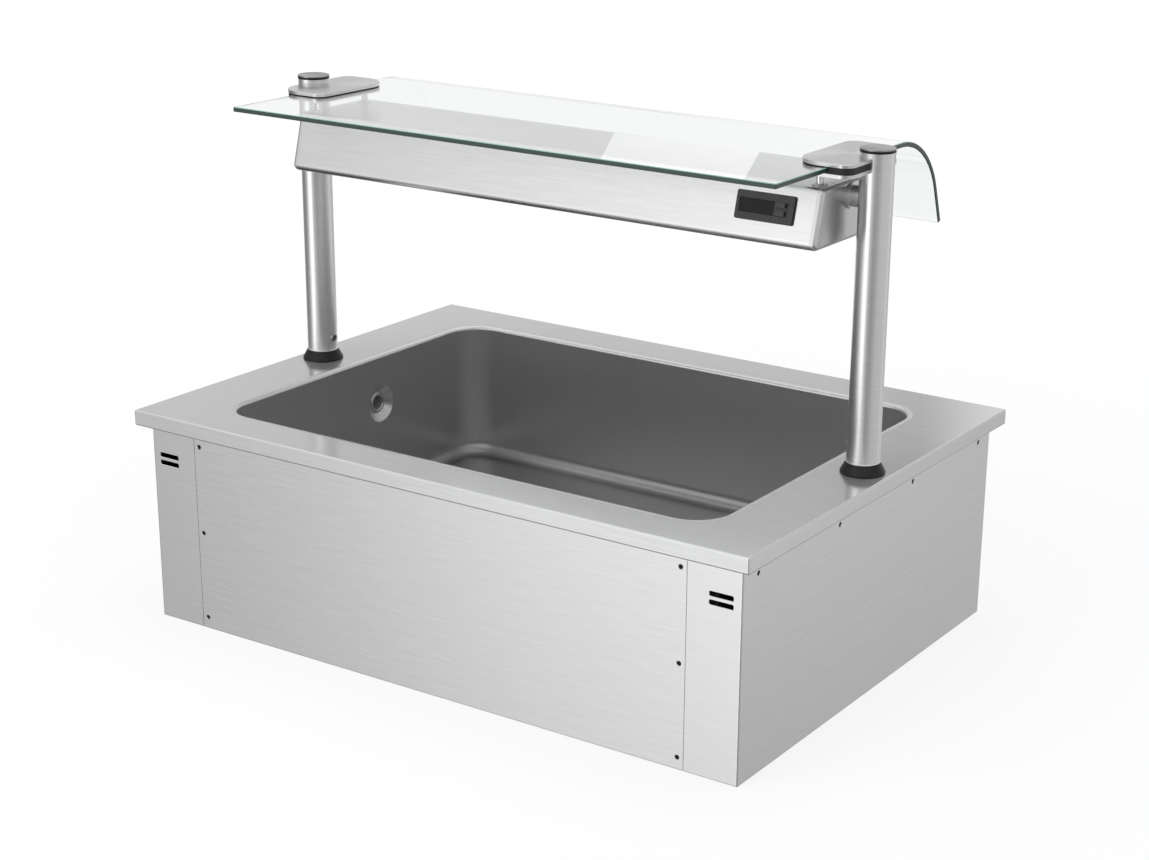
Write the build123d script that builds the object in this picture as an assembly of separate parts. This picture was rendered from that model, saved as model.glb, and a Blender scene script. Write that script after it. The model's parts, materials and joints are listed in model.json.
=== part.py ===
from build123d import *
import os
from math import atan2, cos, radians, sin, sqrt

# Drop-in cold well with a glass canopy. Millimetres, +Z up, origin under the middle of the casing,
# +X to the operator's right, +Y towards the customer.

# Sheet metal and gaps that several pieces share
SHEET = 1.5
EDGE_ROUND = 2.0
FIT = 0.2
SEAM = 0.8

# Well
WELL_WIDTH = 720.0
WELL_BREADTH = 516.0
WELL_DEPTH = 190.0
WELL_CORNER = 45.0
FLOOR_ROUND = 18.0
RIM_ROUND = 5.0
RIM_FLAT = 3.0

# Layers around the well, from its wall out to the edge of the worktop
COIL_GAP = 11.0
FOAM_WALL = 27.0
FOAM_FLOOR = 30.0
FOAM_FIT = 1.5
SIDE_CHANNEL = 31.0
FRONT_CHANNEL = 4.0
BACK_CHANNEL = 12.0
PIPE_SPACE = 57.0
SKIRT = 3.0
SKIRT_HEIGHT = 45.0
OVERHANG = 15.0
BAND_HEIGHT = 20.0
BAND_LIP = 12.0

# Casing panels
PANEL_EDGE = 1.0
STRIP_WIDTH = 70.6
VENT_LENGTH = 30.6
VENT_HEIGHT = 5.8
VENT_CORNER = 1.8
VENT_EDGE = 0.5
VENT_INSET = 27.0
VENT_DROP = 58.0
VENT_PITCH = 10.0
TRAY_HEIGHT = 22.0
BRACKET_WIDTH = 40.0
BRACKET_SHEET = 2.0
ACCESS_MARGIN = 25.0

# Panel screws
SCREW_RADIUS = 1.6
SCREW_HEAD_RADIUS = 2.6
SCREW_HEAD_HEIGHT = 0.4
SCREW_HEAD_ROUND = 0.2
SCREW_RECESS_RADIUS = 1.3
SCREW_RECESS_DEPTH = 0.25
SCREW_REACH = 1.0
SEAT_RADIUS = 3.3
SEAT_DEPTH = 0.7
TOP_SCREW_DROP = 35.5
BASE_SCREW_RISE = 15.0
SEAM_SCREW_INSET = 8.0
SIDE_SCREW_INSET = 32.5
SIDE_SCREWS = 4
BACK_SCREW_INSET = 45.0
BACK_SCREWS = 4

# Overflow port in the left wall
OVERFLOW_BACK = 54.0
OVERFLOW_DROP = 69.5
DISH_RADIUS = 26.0
DISH_FLOOR_RADIUS = 15.0
DISH_DEPTH = 6.7
DISH_LIP_RADIUS = 14.0
DISH_LIP_BORE = 10.6
DISH_LIP_HEIGHT = 1.6
DISH_LIP_ROUND = 0.7

# Drain pipework under the well
PIPE_RADIUS = 11.0
PIPE_BORE = 9.5
PIPE_DROP = 23.0
PIPE_BEND = 20.0
DRAIN_INSET_X = 110.0
DRAIN_INSET_Y = 110.0
WASTE_RADIUS = 20.0
WASTE_FLANGE = 28.0
WASTE_FLANGE_HEIGHT = 2.0
WASTE_SLOTS = 6
WASTE_SLOT_RADIUS = 3.0
WASTE_SLOT_CIRCLE = 10.0
VALVE_RUN = 20.0
VALVE_RADIUS = 18.0
VALVE_LENGTH = 60.0
VALVE_NECK = 8.0
VALVE_NECK_REACH = 22.0
BALL_RADIUS = 14.0
STEM_RADIUS = 4.0
RUNNING_FIT = 0.3
LEVER_LENGTH = 85.0
LEVER_WIDTH = 14.0
LEVER_THICKNESS = 3.0
LEVER_RISE = 6.0
LEVER_HUB = 9.0
TEE_RADIUS = 13.0
TEE_REACH = 20.0
NIPPLE_RADIUS = 10.0
SERVICE_REACH = 14.0
SERVICE_COLLAR = 2.0
COLLAR_STEP = 5.0

# Evaporator coil and refrigerant lines
COIL_RADIUS = 5.0
COIL_BORE = 4.0
COIL_TOUCH = 0.3
COIL_DROP = 105.0
COIL_PITCH = 25.0
COIL_TURNS = 4
COIL_EXIT_BEND = 16.0
COIL_INLET_INSET = 134.0
COIL_OUTLET_INSET = 74.0
COIL_END_INSET = 64.0
EXPANSION_RADIUS = 10.0
EXPANSION_LENGTH = 35.0
EXPANSION_HEAD_RADIUS = 13.0
EXPANSION_HEAD_HEIGHT = 22.0
SUCTION_RADIUS = 6.0
SUCTION_BORE = 5.0
PROBE_RADIUS = 3.0
PROBE_LENGTH = 40.0
PROBE_TURN = 1.5

# Electrical pieces in the casing
BOX_DEPTH = 29.0
BOX_LENGTH = 100.0
BOX_HEIGHT = 85.0
BOX_WALL = 2.0
BOX_DROP = 75.0
GLAND_RADIUS = 9.0
GLAND_BORE = 4.5
GLAND_NUT = 12.0
GLAND_NUT_LENGTH = 5.0
GLAND_INSET = 85.0
GLAND_RISE = 34.0
CABLE_RADIUS = 2.5

# Posts
POST_RADIUS = 20.0
POST_WALL = 2.0
POST_HEIGHT = 380.0
COLLAR_RADIUS = 27.0
COLLAR_NECK = 20.9
COLLAR_HEIGHT = 13.0
COLLAR_LIP = 2.0
BEAD_RADIUS = 0.8
CAP_RADIUS = 20.5
CAP_RING = 3.0
CAP_DISC = 1.5
CAP_EDGE = 0.5
CAP_SPIGOT = 10.0
FOOT_HEIGHT = 50.0
FOOT_BORE = 5.0
STUD_RADIUS = 8.0
PLATE_LENGTH = 100.0
PLATE_THICKNESS = 6.0
NUT_FLATS = 24.0
NUT_HEIGHT = 8.0
STUD_END = 4.0
FOOT_SCREW_RADIUS = 3.0
FOOT_SCREW_LENGTH = 10.0
FOOT_SCREW_HEAD = 5.7
FOOT_SCREW_HEAD_HEIGHT = 2.3
FOOT_SCREW_DOME = 1.6
FOOT_SCREW_SOCKET = 2.9
FOOT_SCREW_SOCKET_DEPTH = 1.6
FOOT_SCREW_RISE = 31.0

# Glass canopy and its clamps
GLASS_THICKNESS = 6.0
GLASS_TO_POST = 26.5
GLASS_FRONT = 182.0
GLASS_FLAT_BACK = 115.0
GLASS_BEND = 105.0
GLASS_BEND_ANGLE = 70.0
GLASS_TAIL = 47.0
GLASS_EDGE = 0.8
CLAMP_DROP = 5.5
CLAMP_LENGTH = 140.0
CLAMP_INNER = 72.5
CLAMP_OUTER = 2.5
CLAMP_PLATE = 4.0
CLAMP_LINER = 1.0
CLAMP_BIG_CORNER = 36.0
CLAMP_SMALL_CORNER = 14.0
CLAMP_EDGE = 1.0
GASKET_INSET = 0.8
PIN_RADIUS = 4.0
PIN_TO_POST = 48.0
PIN_SPACING = 90.0
PIN_TAIL = 8.0
WASHER_RADIUS = 9.0
WASHER_HEIGHT = 1.5

# Light housing
HOUSING_GAP = 15.5
HOUSING_HEIGHT = 68.5
HOUSING_TOP_HALF = 65.0
HOUSING_BASE_HALF = 84.0
HOUSING_SHEET = 1.2
HOUSING_BASE_ROUND = 8.0
HOUSING_TOP_ROUND = 6.0
END_DEPTH = 8.0
END_ROUND = 5.0
HOUSING_LIP = 24.0
DIFFUSER_THICKNESS = 3.0
DIFFUSER_SEAT = 10.0
LED_WIDTH = 20.0
LED_BOARD = 2.0
LED_INSET = 30.0
LED_SIZE = 5.0
LED_HEIGHT = 1.0
LED_COUNT = 20
BOSS_LENGTH = 11.0
BOSS_DROP = 17.0
BOSS_RADIUS = 12.5
BOSS_FLANGE = 15.5
BOSS_FLANGE_THICKNESS = 2.5
BOSS_BORE = 6.0

# Controller, set in the housing's leaning front
CONTROLLER_INSET = 70.0
CONTROLLER_RISE = 41.0
BEZEL_WIDTH = 76.0
BEZEL_HEIGHT = 33.0
BEZEL_THICKNESS = 3.0
BEZEL_CORNER = 2.5
BEZEL_EDGE = 0.8
CONTROLLER_WIDTH = 70.5
CONTROLLER_HEIGHT = 28.5
CONTROLLER_DEPTH = 58.0
WINDOW_WIDTH = 45.5
WINDOW_HEIGHT = 16.5
WINDOW_OFFSET = -10.5
WINDOW_THICKNESS = 1.2
WINDOW_SINK = 0.4
KEY_WIDTH = 15.6
KEY_HEIGHT = 6.6
KEY_OFFSET = 22.0
KEY_PITCH = 9.4
KEY_PROUD = 0.5
KEY_DEPTH = 4.2
KEY_TRAVEL = 0.8
KEY_STOP = 0.5
KEY_CORNER = 0.8
KEY_ROUND = 0.3

# Faces worked out from the layers: the well's wall, the foam, the casing and the worktop
WALL_STACK = SHEET + COIL_GAP + FOAM_WALL + SKIRT + SHEET + OVERHANG
TOP_WIDTH = WELL_WIDTH + 2 * (WALL_STACK + SIDE_CHANNEL)
TOP_DEPTH = WELL_BREADTH + 2 * WALL_STACK + FRONT_CHANNEL + BACK_CHANNEL
CENTRE_Y = (FRONT_CHANNEL - BACK_CHANNEL) / 2
CASE_X = TOP_WIDTH / 2 - OVERHANG
CASE_Y = TOP_DEPTH / 2 - OVERHANG
PANEL_X = CASE_X - SHEET
PANEL_Y = CASE_Y - SHEET
WALL_X = WELL_WIDTH / 2 + SHEET
WALL_Y = WELL_BREADTH / 2 + SHEET
FOAM_X = WALL_X + COIL_GAP + FOAM_WALL
FOAM_Y = WALL_Y + COIL_GAP + FOAM_WALL
CHANNEL_X = FOAM_X + SIDE_CHANNEL / 2

# Heights worked out from the layers
FOAM_Z = SHEET + PIPE_SPACE
FLOOR_Z = FOAM_Z + FOAM_FLOOR + SHEET
TOP_Z = FLOOR_Z + WELL_DEPTH
UNDER_TOP_Z = TOP_Z - SHEET
SKIRT_Z = UNDER_TOP_Z - SKIRT_HEIGHT
TOP_SCREW_Z = TOP_Z - TOP_SCREW_DROP
PIPE_Z = FOAM_Z - PIPE_DROP
SERVICE_Y = CASE_Y + SERVICE_REACH

# Drain and overflow places
DRAIN_X = DRAIN_INSET_X - WELL_WIDTH / 2
DRAIN_Y = CENTRE_Y - WELL_BREADTH / 2 + DRAIN_INSET_Y
VALVE_START = DRAIN_Y + PIPE_BEND + VALVE_RUN
VALVE_Y = VALVE_START + VALVE_LENGTH / 2
OVERFLOW_Y = CENTRE_Y + OVERFLOW_BACK
OVERFLOW_Z = TOP_Z - OVERFLOW_DROP
DISH_FLOOR_X = -WELL_WIDTH / 2 - DISH_DEPTH

# Coil places
COIL_X = WALL_X + COIL_TOUCH + COIL_RADIUS
COIL_Y = WALL_Y + COIL_TOUCH + COIL_RADIUS
COIL_TOP_Z = TOP_Z - COIL_DROP
COIL_LAST_Z = COIL_TOP_Z - COIL_PITCH * (COIL_TURNS - 1)
INLET_Y = CENTRE_Y + WALL_Y - COIL_INLET_INSET
OUTLET_Y = CENTRE_Y + WALL_Y - COIL_OUTLET_INSET
COIL_END_Y = PANEL_Y - COIL_END_INSET

# Superstructure places
POST_X = CHANNEL_X
POST_TOP_Z = TOP_Z + POST_HEIGHT
FOOT_SCREW_FLAT = sqrt(POST_RADIUS**2 - (FOOT_SCREW_HEAD + FIT) ** 2)
FOOT_SCREW_SEAT = (POST_X - FOOT_SCREW_FLAT, CENTRE_Y, TOP_Z + FOOT_SCREW_RISE)
HOUSING_X = POST_X - POST_RADIUS - BOSS_LENGTH
GASKET_TOP_Z = POST_TOP_Z - CLAMP_DROP - CLAMP_PLATE
GLASS_Z = GASKET_TOP_Z - CLAMP_LINER - GLASS_THICKNESS
GLASS_X = POST_X - GLASS_TO_POST
GASKET_Z = GLASS_Z - CLAMP_LINER
HOUSING_TOP_Z = GASKET_Z - CLAMP_PLATE - HOUSING_GAP
HOUSING_Z = HOUSING_TOP_Z - HOUSING_HEIGHT
BOSS_Z = HOUSING_TOP_Z - BOSS_DROP
BOX_TOP_Z = TOP_Z - BOX_DROP

# Frame of the housing's leaning front: local X along the housing, Y up the slope, Z out of the face
LEAN = atan2(HOUSING_BASE_HALF - HOUSING_TOP_HALF, HOUSING_HEIGHT)
CONTROLLER_X = HOUSING_X - CONTROLLER_INSET
CONTROLLER_Y = CENTRE_Y - HOUSING_BASE_HALF + CONTROLLER_RISE * sin(LEAN) / cos(LEAN)
FACE = Plane(
    origin=(CONTROLLER_X, CONTROLLER_Y, HOUSING_Z + CONTROLLER_RISE),
    x_dir=(1, 0, 0),
    z_dir=(0, -cos(LEAN), sin(LEAN)),
)

UP = (0, 0, 1)
DOWN = (0, 0, -1)
RIGHT = (1, 0, 0)
LEFT = (-1, 0, 0)
BACK = (0, 1, 0)
FRONT = (0, -1, 0)


def block(x, y, z):
    """Rectangular solid between pairs of limits."""
    middle = Pos((x[0] + x[1]) / 2, (y[0] + y[1]) / 2, (z[0] + z[1]) / 2)
    return middle * Box(x[1] - x[0], y[1] - y[0], z[1] - z[0])


def rod(radius, start, axis, length):
    """Round bar that starts at a point and runs along an axis."""
    seat = (Align.CENTER, Align.CENTER, Align.MIN)
    return Plane(origin=start, z_dir=axis) * Cylinder(radius, length, align=seat)


def ring(outer, bore, start, axis, length):
    """Round tube that starts at a point and runs along an axis."""
    return rod(outer, start, axis, length) - rod(bore, start, axis, length)


def slab(width, breadth, corner, low, high):
    """Upright block over the well with rounded corners."""
    outline = Pos(0, CENTRE_Y, low) * RectangleRounded(width, breadth, corner)
    return extrude(outline, high - low)


def run(points, bends, radius):
    """Round bar along straight runs joined by arcs."""
    path = FilletPolyline(*points, radius=bends)
    return sweep((path ^ 0) * Circle(radius), path=path)


def pipe(points, bends, radius, bore):
    """Hollow pipe along straight runs joined by arcs."""
    return run(points, bends, radius) - run(points, bends, bore)


def mirrored(shape):
    """The same piece on the other side of the unit."""
    return mirror(shape, about=Plane.YZ)


def half_turn(shape):
    """The same piece turned half a turn about the upright through the well's centre."""
    return Pos(0, CENTRE_Y, 0) * Rot(0, 0, 180) * Pos(0, -CENTRE_Y, 0) * shape


def level_faces(shape, height):
    """Flat level faces of a piece at one height."""
    return [face for face in shape.faces().filter_by(Axis.Z) if abs(face.center().Z - height) < FIT]


def spread(half, count):
    """Evenly spaced places from minus half to plus half."""
    return [-half + 2 * half * index / (count - 1) for index in range(count)]


def save(name, *solids):
    """Write one node, which holds one solid or a group of like solids."""
    shape = solids[0] if len(solids) == 1 else Compound([one.solid() for one in solids])
    export_step(shape, f"parts/{name}.step")


# Screw places: a point on the panel's outer face and the way out of it
FRONT_SEAM_X = CASE_X - STRIP_WIDTH - SEAM
FRONT_SCREW_X = FRONT_SEAM_X - SEAM_SCREW_INSET
FRONT_ROWS = (BASE_SCREW_RISE, (BASE_SCREW_RISE + TOP_SCREW_Z) / 2, TOP_SCREW_Z)
FRONT_SCREWS = [((x, -CASE_Y, z), FRONT) for x in (-FRONT_SCREW_X, FRONT_SCREW_X) for z in FRONT_ROWS]
SIDE_PLACES = spread(CASE_Y - SIDE_SCREW_INSET, SIDE_SCREWS)
RIGHT_SCREWS = [((CASE_X, y, TOP_SCREW_Z), RIGHT) for y in SIDE_PLACES]
LEFT_SCREWS = [((-CASE_X, y, TOP_SCREW_Z), LEFT) for y in SIDE_PLACES]
BACK_PLACES = spread(CASE_X - BACK_SCREW_INSET, BACK_SCREWS)
BACK_ROWS = (BASE_SCREW_RISE, TOP_SCREW_Z)
BACK_SCREW_SPOTS = [((x, CASE_Y, z), BACK) for x in BACK_PLACES for z in BACK_ROWS]
ALL_SCREWS = FRONT_SCREWS + RIGHT_SCREWS + LEFT_SCREWS + BACK_SCREW_SPOTS


def screw_seat(spot):
    """Middle of the sunk seat that one screw's head rests on."""
    point, out = spot
    return tuple(Vector(*point) - Vector(*out) * SEAT_DEPTH)


def screw_shank(spot, grow=0.0):
    """Shank of one panel screw, or with some growth the hole that it goes through."""
    inward = tuple(Vector(*spot[1]) * -1)
    return rod(SCREW_RADIUS + grow, screw_seat(spot), inward, SHEET - SEAT_DEPTH + SKIRT + SCREW_REACH)


def panel_screw(spot):
    """Low round-headed screw with a socket, sunk in its seat."""
    out = spot[1]
    seat = screw_seat(spot)
    head = rod(SCREW_HEAD_RADIUS, seat, out, SCREW_HEAD_HEIGHT)
    rim = head.edges().filter_by(GeomType.CIRCLE).sort_by(Axis((0, 0, 0), out))[-1]
    head = fillet(rim, SCREW_HEAD_ROUND)
    top = tuple(Vector(*seat) + Vector(*out) * (SCREW_HEAD_HEIGHT - SCREW_RECESS_DEPTH))
    return head + screw_shank(spot) - rod(SCREW_RECESS_RADIUS, top, out, SCREW_RECESS_DEPTH)


def drilled(panel, spots):
    """A sheet piece with clearance holes for its screws."""
    for spot in spots:
        panel -= screw_shank(spot, FIT / 2)
    return panel


def seated(panel, spots):
    """A panel with conical seats and clearance holes for its screws."""
    base = (Align.CENTER, Align.CENTER, Align.MIN)
    for spot in spots:
        cone = Cone(SCREW_HEAD_RADIUS + FIT, SEAT_RADIUS, SEAT_DEPTH, align=base)
        panel -= Plane(origin=screw_seat(spot), z_dir=spot[1]) * cone
    return drilled(panel, spots)


def eased(panel, out):
    """A flat panel with the lower edge of its outer face rounded."""
    foot = panel.faces().sort_by(Axis((0, 0, 0), out))[-1].edges().sort_by(Axis.Z)[0]
    return fillet(foot, PANEL_EDGE)


def worktop():
    """Top sheet with turned-down edges, a return lip and the opening for the well's rim."""
    half_x = TOP_WIDTH / 2
    half_y = TOP_DEPTH / 2
    foot = TOP_Z - BAND_HEIGHT
    body = block((-half_x, half_x), (-half_y, half_y), (foot, TOP_Z))
    body = fillet(body.edges(), EDGE_ROUND)
    inside_x = half_x - SHEET
    inside_y = half_y - SHEET
    body -= block((-inside_x, inside_x), (-inside_y, inside_y), (foot + SHEET, UNDER_TOP_Z))
    lip_x = half_x - BAND_LIP
    lip_y = half_y - BAND_LIP
    body -= block((-lip_x, lip_x), (-lip_y, lip_y), (foot, foot + SHEET))
    rim = RIM_ROUND + RIM_FLAT
    body -= slab(WELL_WIDTH + 2 * rim, WELL_BREADTH + 2 * rim, WELL_CORNER + rim, UNDER_TOP_Z, TOP_Z)
    for x in (-POST_X, POST_X):
        body -= rod(STUD_RADIUS + FIT, (x, CENTRE_Y, UNDER_TOP_Z), UP, SHEET)
    return body


def well_tub():
    """Pressed well with a rolled rim, a dished overflow port with a lip, and a drain hole."""
    wall = slab(2 * WALL_X, 2 * WALL_Y, WELL_CORNER + SHEET, FLOOR_Z - SHEET, TOP_Z)
    wall = fillet(wall.edges().group_by(Axis.Z)[0], FLOOR_ROUND + SHEET)
    rim = RIM_ROUND + RIM_FLAT
    flange = slab(WELL_WIDTH + 2 * rim, WELL_BREADTH + 2 * rim, WELL_CORNER + rim, UNDER_TOP_Z, TOP_Z)
    body = wall + flange
    under = level_faces(body, UNDER_TOP_Z)[0].inner_wires()[0].edges()
    body = fillet(under, RIM_ROUND - SHEET)
    dish_axis = Plane(origin=(-WELL_WIDTH / 2, OVERFLOW_Y, OVERFLOW_Z), z_dir=LEFT)
    seat = (Align.CENTER, Align.CENTER, Align.MIN)
    body += dish_axis * Cone(DISH_RADIUS + SHEET, DISH_FLOOR_RADIUS + SHEET, DISH_DEPTH + SHEET, align=seat)
    hollow = slab(WELL_WIDTH, WELL_BREADTH, WELL_CORNER, FLOOR_Z, TOP_Z)
    hollow = fillet(hollow.edges().group_by(Axis.Z)[0], FLOOR_ROUND)
    body -= hollow
    mouth = level_faces(body, TOP_Z)[0].inner_wires()[0].edges()
    body = fillet(mouth, RIM_ROUND)
    body -= dish_axis * Cone(DISH_RADIUS, DISH_FLOOR_RADIUS, DISH_DEPTH, align=seat)
    port = (DISH_FLOOR_X, OVERFLOW_Y, OVERFLOW_Z)
    lip = ring(DISH_LIP_RADIUS, DISH_LIP_BORE, port, RIGHT, DISH_LIP_HEIGHT)
    body += fillet(lip.edges().filter_by(GeomType.CIRCLE).group_by(Axis.X)[-1], DISH_LIP_ROUND)
    body -= rod(PIPE_BORE, port, LEFT, SHEET)
    body -= rod(WASTE_RADIUS + FIT, (DRAIN_X, DRAIN_Y, FLOOR_Z - SHEET), UP, SHEET)
    return body


def skirt_frame():
    """Flat bar frame under the worktop that the panels are screwed to."""
    body = block((-PANEL_X, PANEL_X), (-PANEL_Y, PANEL_Y), (SKIRT_Z, UNDER_TOP_Z))
    inside_x = PANEL_X - SKIRT
    inside_y = PANEL_Y - SKIRT
    body -= block((-inside_x, inside_x), (-inside_y, inside_y), (SKIRT_Z, UNDER_TOP_Z))
    return drilled(body, ALL_SCREWS)


def front_panel():
    """Removable front sheet between the two returns."""
    body = block((-FRONT_SEAM_X, FRONT_SEAM_X), (-CASE_Y, -PANEL_Y), (0, UNDER_TOP_Z))
    return seated(eased(body, FRONT), FRONT_SCREWS)


def side_panel_right():
    """Side sheet bent round the front corner, with two vent slots in the front return."""
    strip_x = CASE_X - STRIP_WIDTH
    body = block((strip_x, CASE_X), (-CASE_Y, CASE_Y), (0, UNDER_TOP_Z))
    corner = body.edges().filter_by(Axis.Z).sort_by(Axis.X)[-2:].sort_by(Axis.Y)[0]
    body = fillet(corner, EDGE_ROUND)
    foot = body.edges().group_by(Axis.Z)[0].sort_by(Axis.X)[1:].sort_by(Axis.Y)[:-1]
    body = fillet(foot, PANEL_EDGE)
    body -= block((strip_x, PANEL_X), (-PANEL_Y, CASE_Y), (0, UNDER_TOP_Z))
    for row in range(2):
        centre = (CASE_X - VENT_INSET, -CASE_Y, TOP_Z - VENT_DROP - VENT_PITCH * row)
        outline = RectangleRounded(VENT_LENGTH, VENT_HEIGHT, VENT_CORNER)
        body -= extrude(Plane(origin=centre, z_dir=BACK, x_dir=RIGHT) * outline, SHEET)
    strip = body.faces().sort_by(Axis.Y)[0]
    body = chamfer([edge for wire in strip.inner_wires() for edge in wire.edges()], VENT_EDGE)
    return seated(body, RIGHT_SCREWS)


def service_holes():
    """Tools that cut the back panel for the drain, the refrigerant lines and the gland."""
    return [
        rod(PIPE_RADIUS + FIT, (DRAIN_X, PANEL_Y, PIPE_Z), BACK, SHEET),
        rod(COIL_RADIUS + FIT, (CHANNEL_X, PANEL_Y, COIL_TOP_Z), BACK, SHEET),
        rod(SUCTION_RADIUS + FIT, (CHANNEL_X, PANEL_Y, COIL_LAST_Z), BACK, SHEET),
        rod(GLAND_RADIUS + FIT, (CASE_X - GLAND_INSET, PANEL_Y, GLAND_RISE), BACK, SHEET),
    ]


def back_panel():
    """Back sheet between the side panels, with the service holes."""
    body = block((-PANEL_X, PANEL_X), (PANEL_Y, CASE_Y), (0, UNDER_TOP_Z))
    body = eased(body, BACK)
    for hole in service_holes():
        body -= hole
    return seated(body, BACK_SCREW_SPOTS)


def bottom_panel():
    """Shallow tray with an access hole under the drain valve's lever."""
    body = block((-PANEL_X, PANEL_X), (-PANEL_Y, PANEL_Y), (0, TRAY_HEIGHT))
    inside_x = PANEL_X - SHEET
    inside_y = PANEL_Y - SHEET
    body -= block((-inside_x, inside_x), (-inside_y, inside_y), (SHEET, TRAY_HEIGHT))
    reach = LEVER_LENGTH + ACCESS_MARGIN
    access_x = (DRAIN_X - ACCESS_MARGIN, DRAIN_X + reach)
    access_y = (VALVE_Y - ACCESS_MARGIN, VALVE_Y + reach)
    body -= block(access_x, access_y, (0, SHEET))
    return drilled(body, FRONT_SCREWS + BACK_SCREW_SPOTS)


def corner_bracket():
    """Upright strip behind the right-hand seam."""
    middle = CASE_X - STRIP_WIDTH - SEAM / 2
    x = (middle - BRACKET_WIDTH / 2, middle + BRACKET_WIDTH / 2)
    body = block(x, (-PANEL_Y, -PANEL_Y + BRACKET_SHEET), (TRAY_HEIGHT, SKIRT_Z))
    return drilled(body, FRONT_SCREWS)


def insulation_jacket():
    """Foam tray round the well, open for the coil's ends, the overflow and the waste."""
    y = (CENTRE_Y - FOAM_Y, CENTRE_Y + FOAM_Y)
    body = block((-FOAM_X, FOAM_X), y, (FOAM_Z, UNDER_TOP_Z))
    pocket_x = 2 * (WALL_X + COIL_GAP)
    pocket_y = 2 * (WALL_Y + COIL_GAP)
    body -= slab(pocket_x, pocket_y, WELL_CORNER + SHEET + COIL_GAP, FLOOR_Z - SHEET, UNDER_TOP_Z)
    body -= rod(PIPE_RADIUS + FOAM_FIT, (-WALL_X, OVERFLOW_Y, OVERFLOW_Z), LEFT, COIL_GAP + FOAM_WALL)
    body -= rod(WASTE_RADIUS + FIT, (DRAIN_X, DRAIN_Y, FOAM_Z), UP, FOAM_FLOOR)
    near = COIL_RADIUS + FOAM_FIT
    far = near + COIL_EXIT_BEND
    inlet = (INLET_Y - far, INLET_Y + near)
    outlet = (OUTLET_Y - near, OUTLET_Y + far)
    for notch, z in ((inlet, COIL_TOP_Z), (outlet, COIL_LAST_Z)):
        body -= block((WALL_X, FOAM_X), notch, (z - near, z + near))
    return body


def evaporator_coil():
    """Copper tube wound round the well, with both ends out in the right-hand channel."""
    front = CENTRE_Y - COIL_Y
    back = CENTRE_Y + COIL_Y
    points = [(CHANNEL_X, COIL_END_Y, COIL_TOP_Z), (CHANNEL_X, INLET_Y, COIL_TOP_Z)]
    points += [(COIL_X, INLET_Y, COIL_TOP_Z)]
    for turn in range(COIL_TURNS - 1):
        z = COIL_TOP_Z - COIL_PITCH * turn
        points += [(COIL_X, front, z), (-COIL_X, front, z)]
        points += [(-COIL_X, back, z), (COIL_X, back, z - COIL_PITCH)]
    points += [(COIL_X, OUTLET_Y, COIL_LAST_Z), (CHANNEL_X, OUTLET_Y, COIL_LAST_Z)]
    points += [(CHANNEL_X, COIL_END_Y, COIL_LAST_Z)]
    corner = WELL_CORNER + SHEET + COIL_TOUCH + COIL_RADIUS
    bends = [COIL_EXIT_BEND] * 2 + [corner] * 4 * (COIL_TURNS - 1) + [COIL_EXIT_BEND] * 2
    return pipe(points, bends, COIL_RADIUS, COIL_BORE)


def expansion_valve():
    """Brass valve body with its round power head, in line with the coil's inlet."""
    start = (CHANNEL_X, COIL_END_Y, COIL_TOP_Z)
    body = rod(EXPANSION_RADIUS, start, BACK, EXPANSION_LENGTH)
    middle = (CHANNEL_X, COIL_END_Y + EXPANSION_LENGTH / 2, COIL_TOP_Z)
    body += rod(EXPANSION_RADIUS / 2, middle, UP, EXPANSION_RADIUS + EXPANSION_HEAD_HEIGHT)
    head_z = COIL_TOP_Z + EXPANSION_RADIUS + EXPANSION_HEAD_HEIGHT / 2
    head = (CHANNEL_X, middle[1], head_z)
    body += rod(EXPANSION_HEAD_RADIUS, head, UP, EXPANSION_HEAD_HEIGHT / 2)
    return body - rod(COIL_BORE, start, BACK, EXPANSION_LENGTH)


def refrigerant_line(radius, bore, start_y, z):
    """Straight line from the coil out through the back panel, with a collar outside it."""
    body = rod(radius, (CHANNEL_X, start_y, z), BACK, SERVICE_Y - start_y)
    body += rod(radius + COLLAR_STEP, (CHANNEL_X, CASE_Y, z), BACK, SERVICE_COLLAR)
    return body - rod(bore, (CHANNEL_X, start_y, z), BACK, SERVICE_Y - start_y)


def temperature_probe():
    """Round-ended probe on the outside of the well's front wall, between two turns of the coil."""
    y = CENTRE_Y - WALL_Y - COIL_TOUCH - PROBE_RADIUS
    z = COIL_TOP_Z - COIL_PITCH * PROBE_TURN
    body = rod(PROBE_RADIUS, (-PROBE_LENGTH / 2, y, z), RIGHT, PROBE_LENGTH)
    return body + Pos(PROBE_LENGTH / 2, y, z) * Sphere(PROBE_RADIUS)


def overflow_pipe():
    """Pipe from the overflow port down the left channel to the tee under the well."""
    points = [
        (DISH_FLOOR_X - SHEET, OVERFLOW_Y, OVERFLOW_Z),
        (-CHANNEL_X, OVERFLOW_Y, OVERFLOW_Z),
        (-CHANNEL_X, OVERFLOW_Y, PIPE_Z),
        (DRAIN_X - TEE_REACH, OVERFLOW_Y, PIPE_Z),
    ]
    return pipe(points, PIPE_BEND, PIPE_RADIUS, PIPE_BORE)


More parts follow.
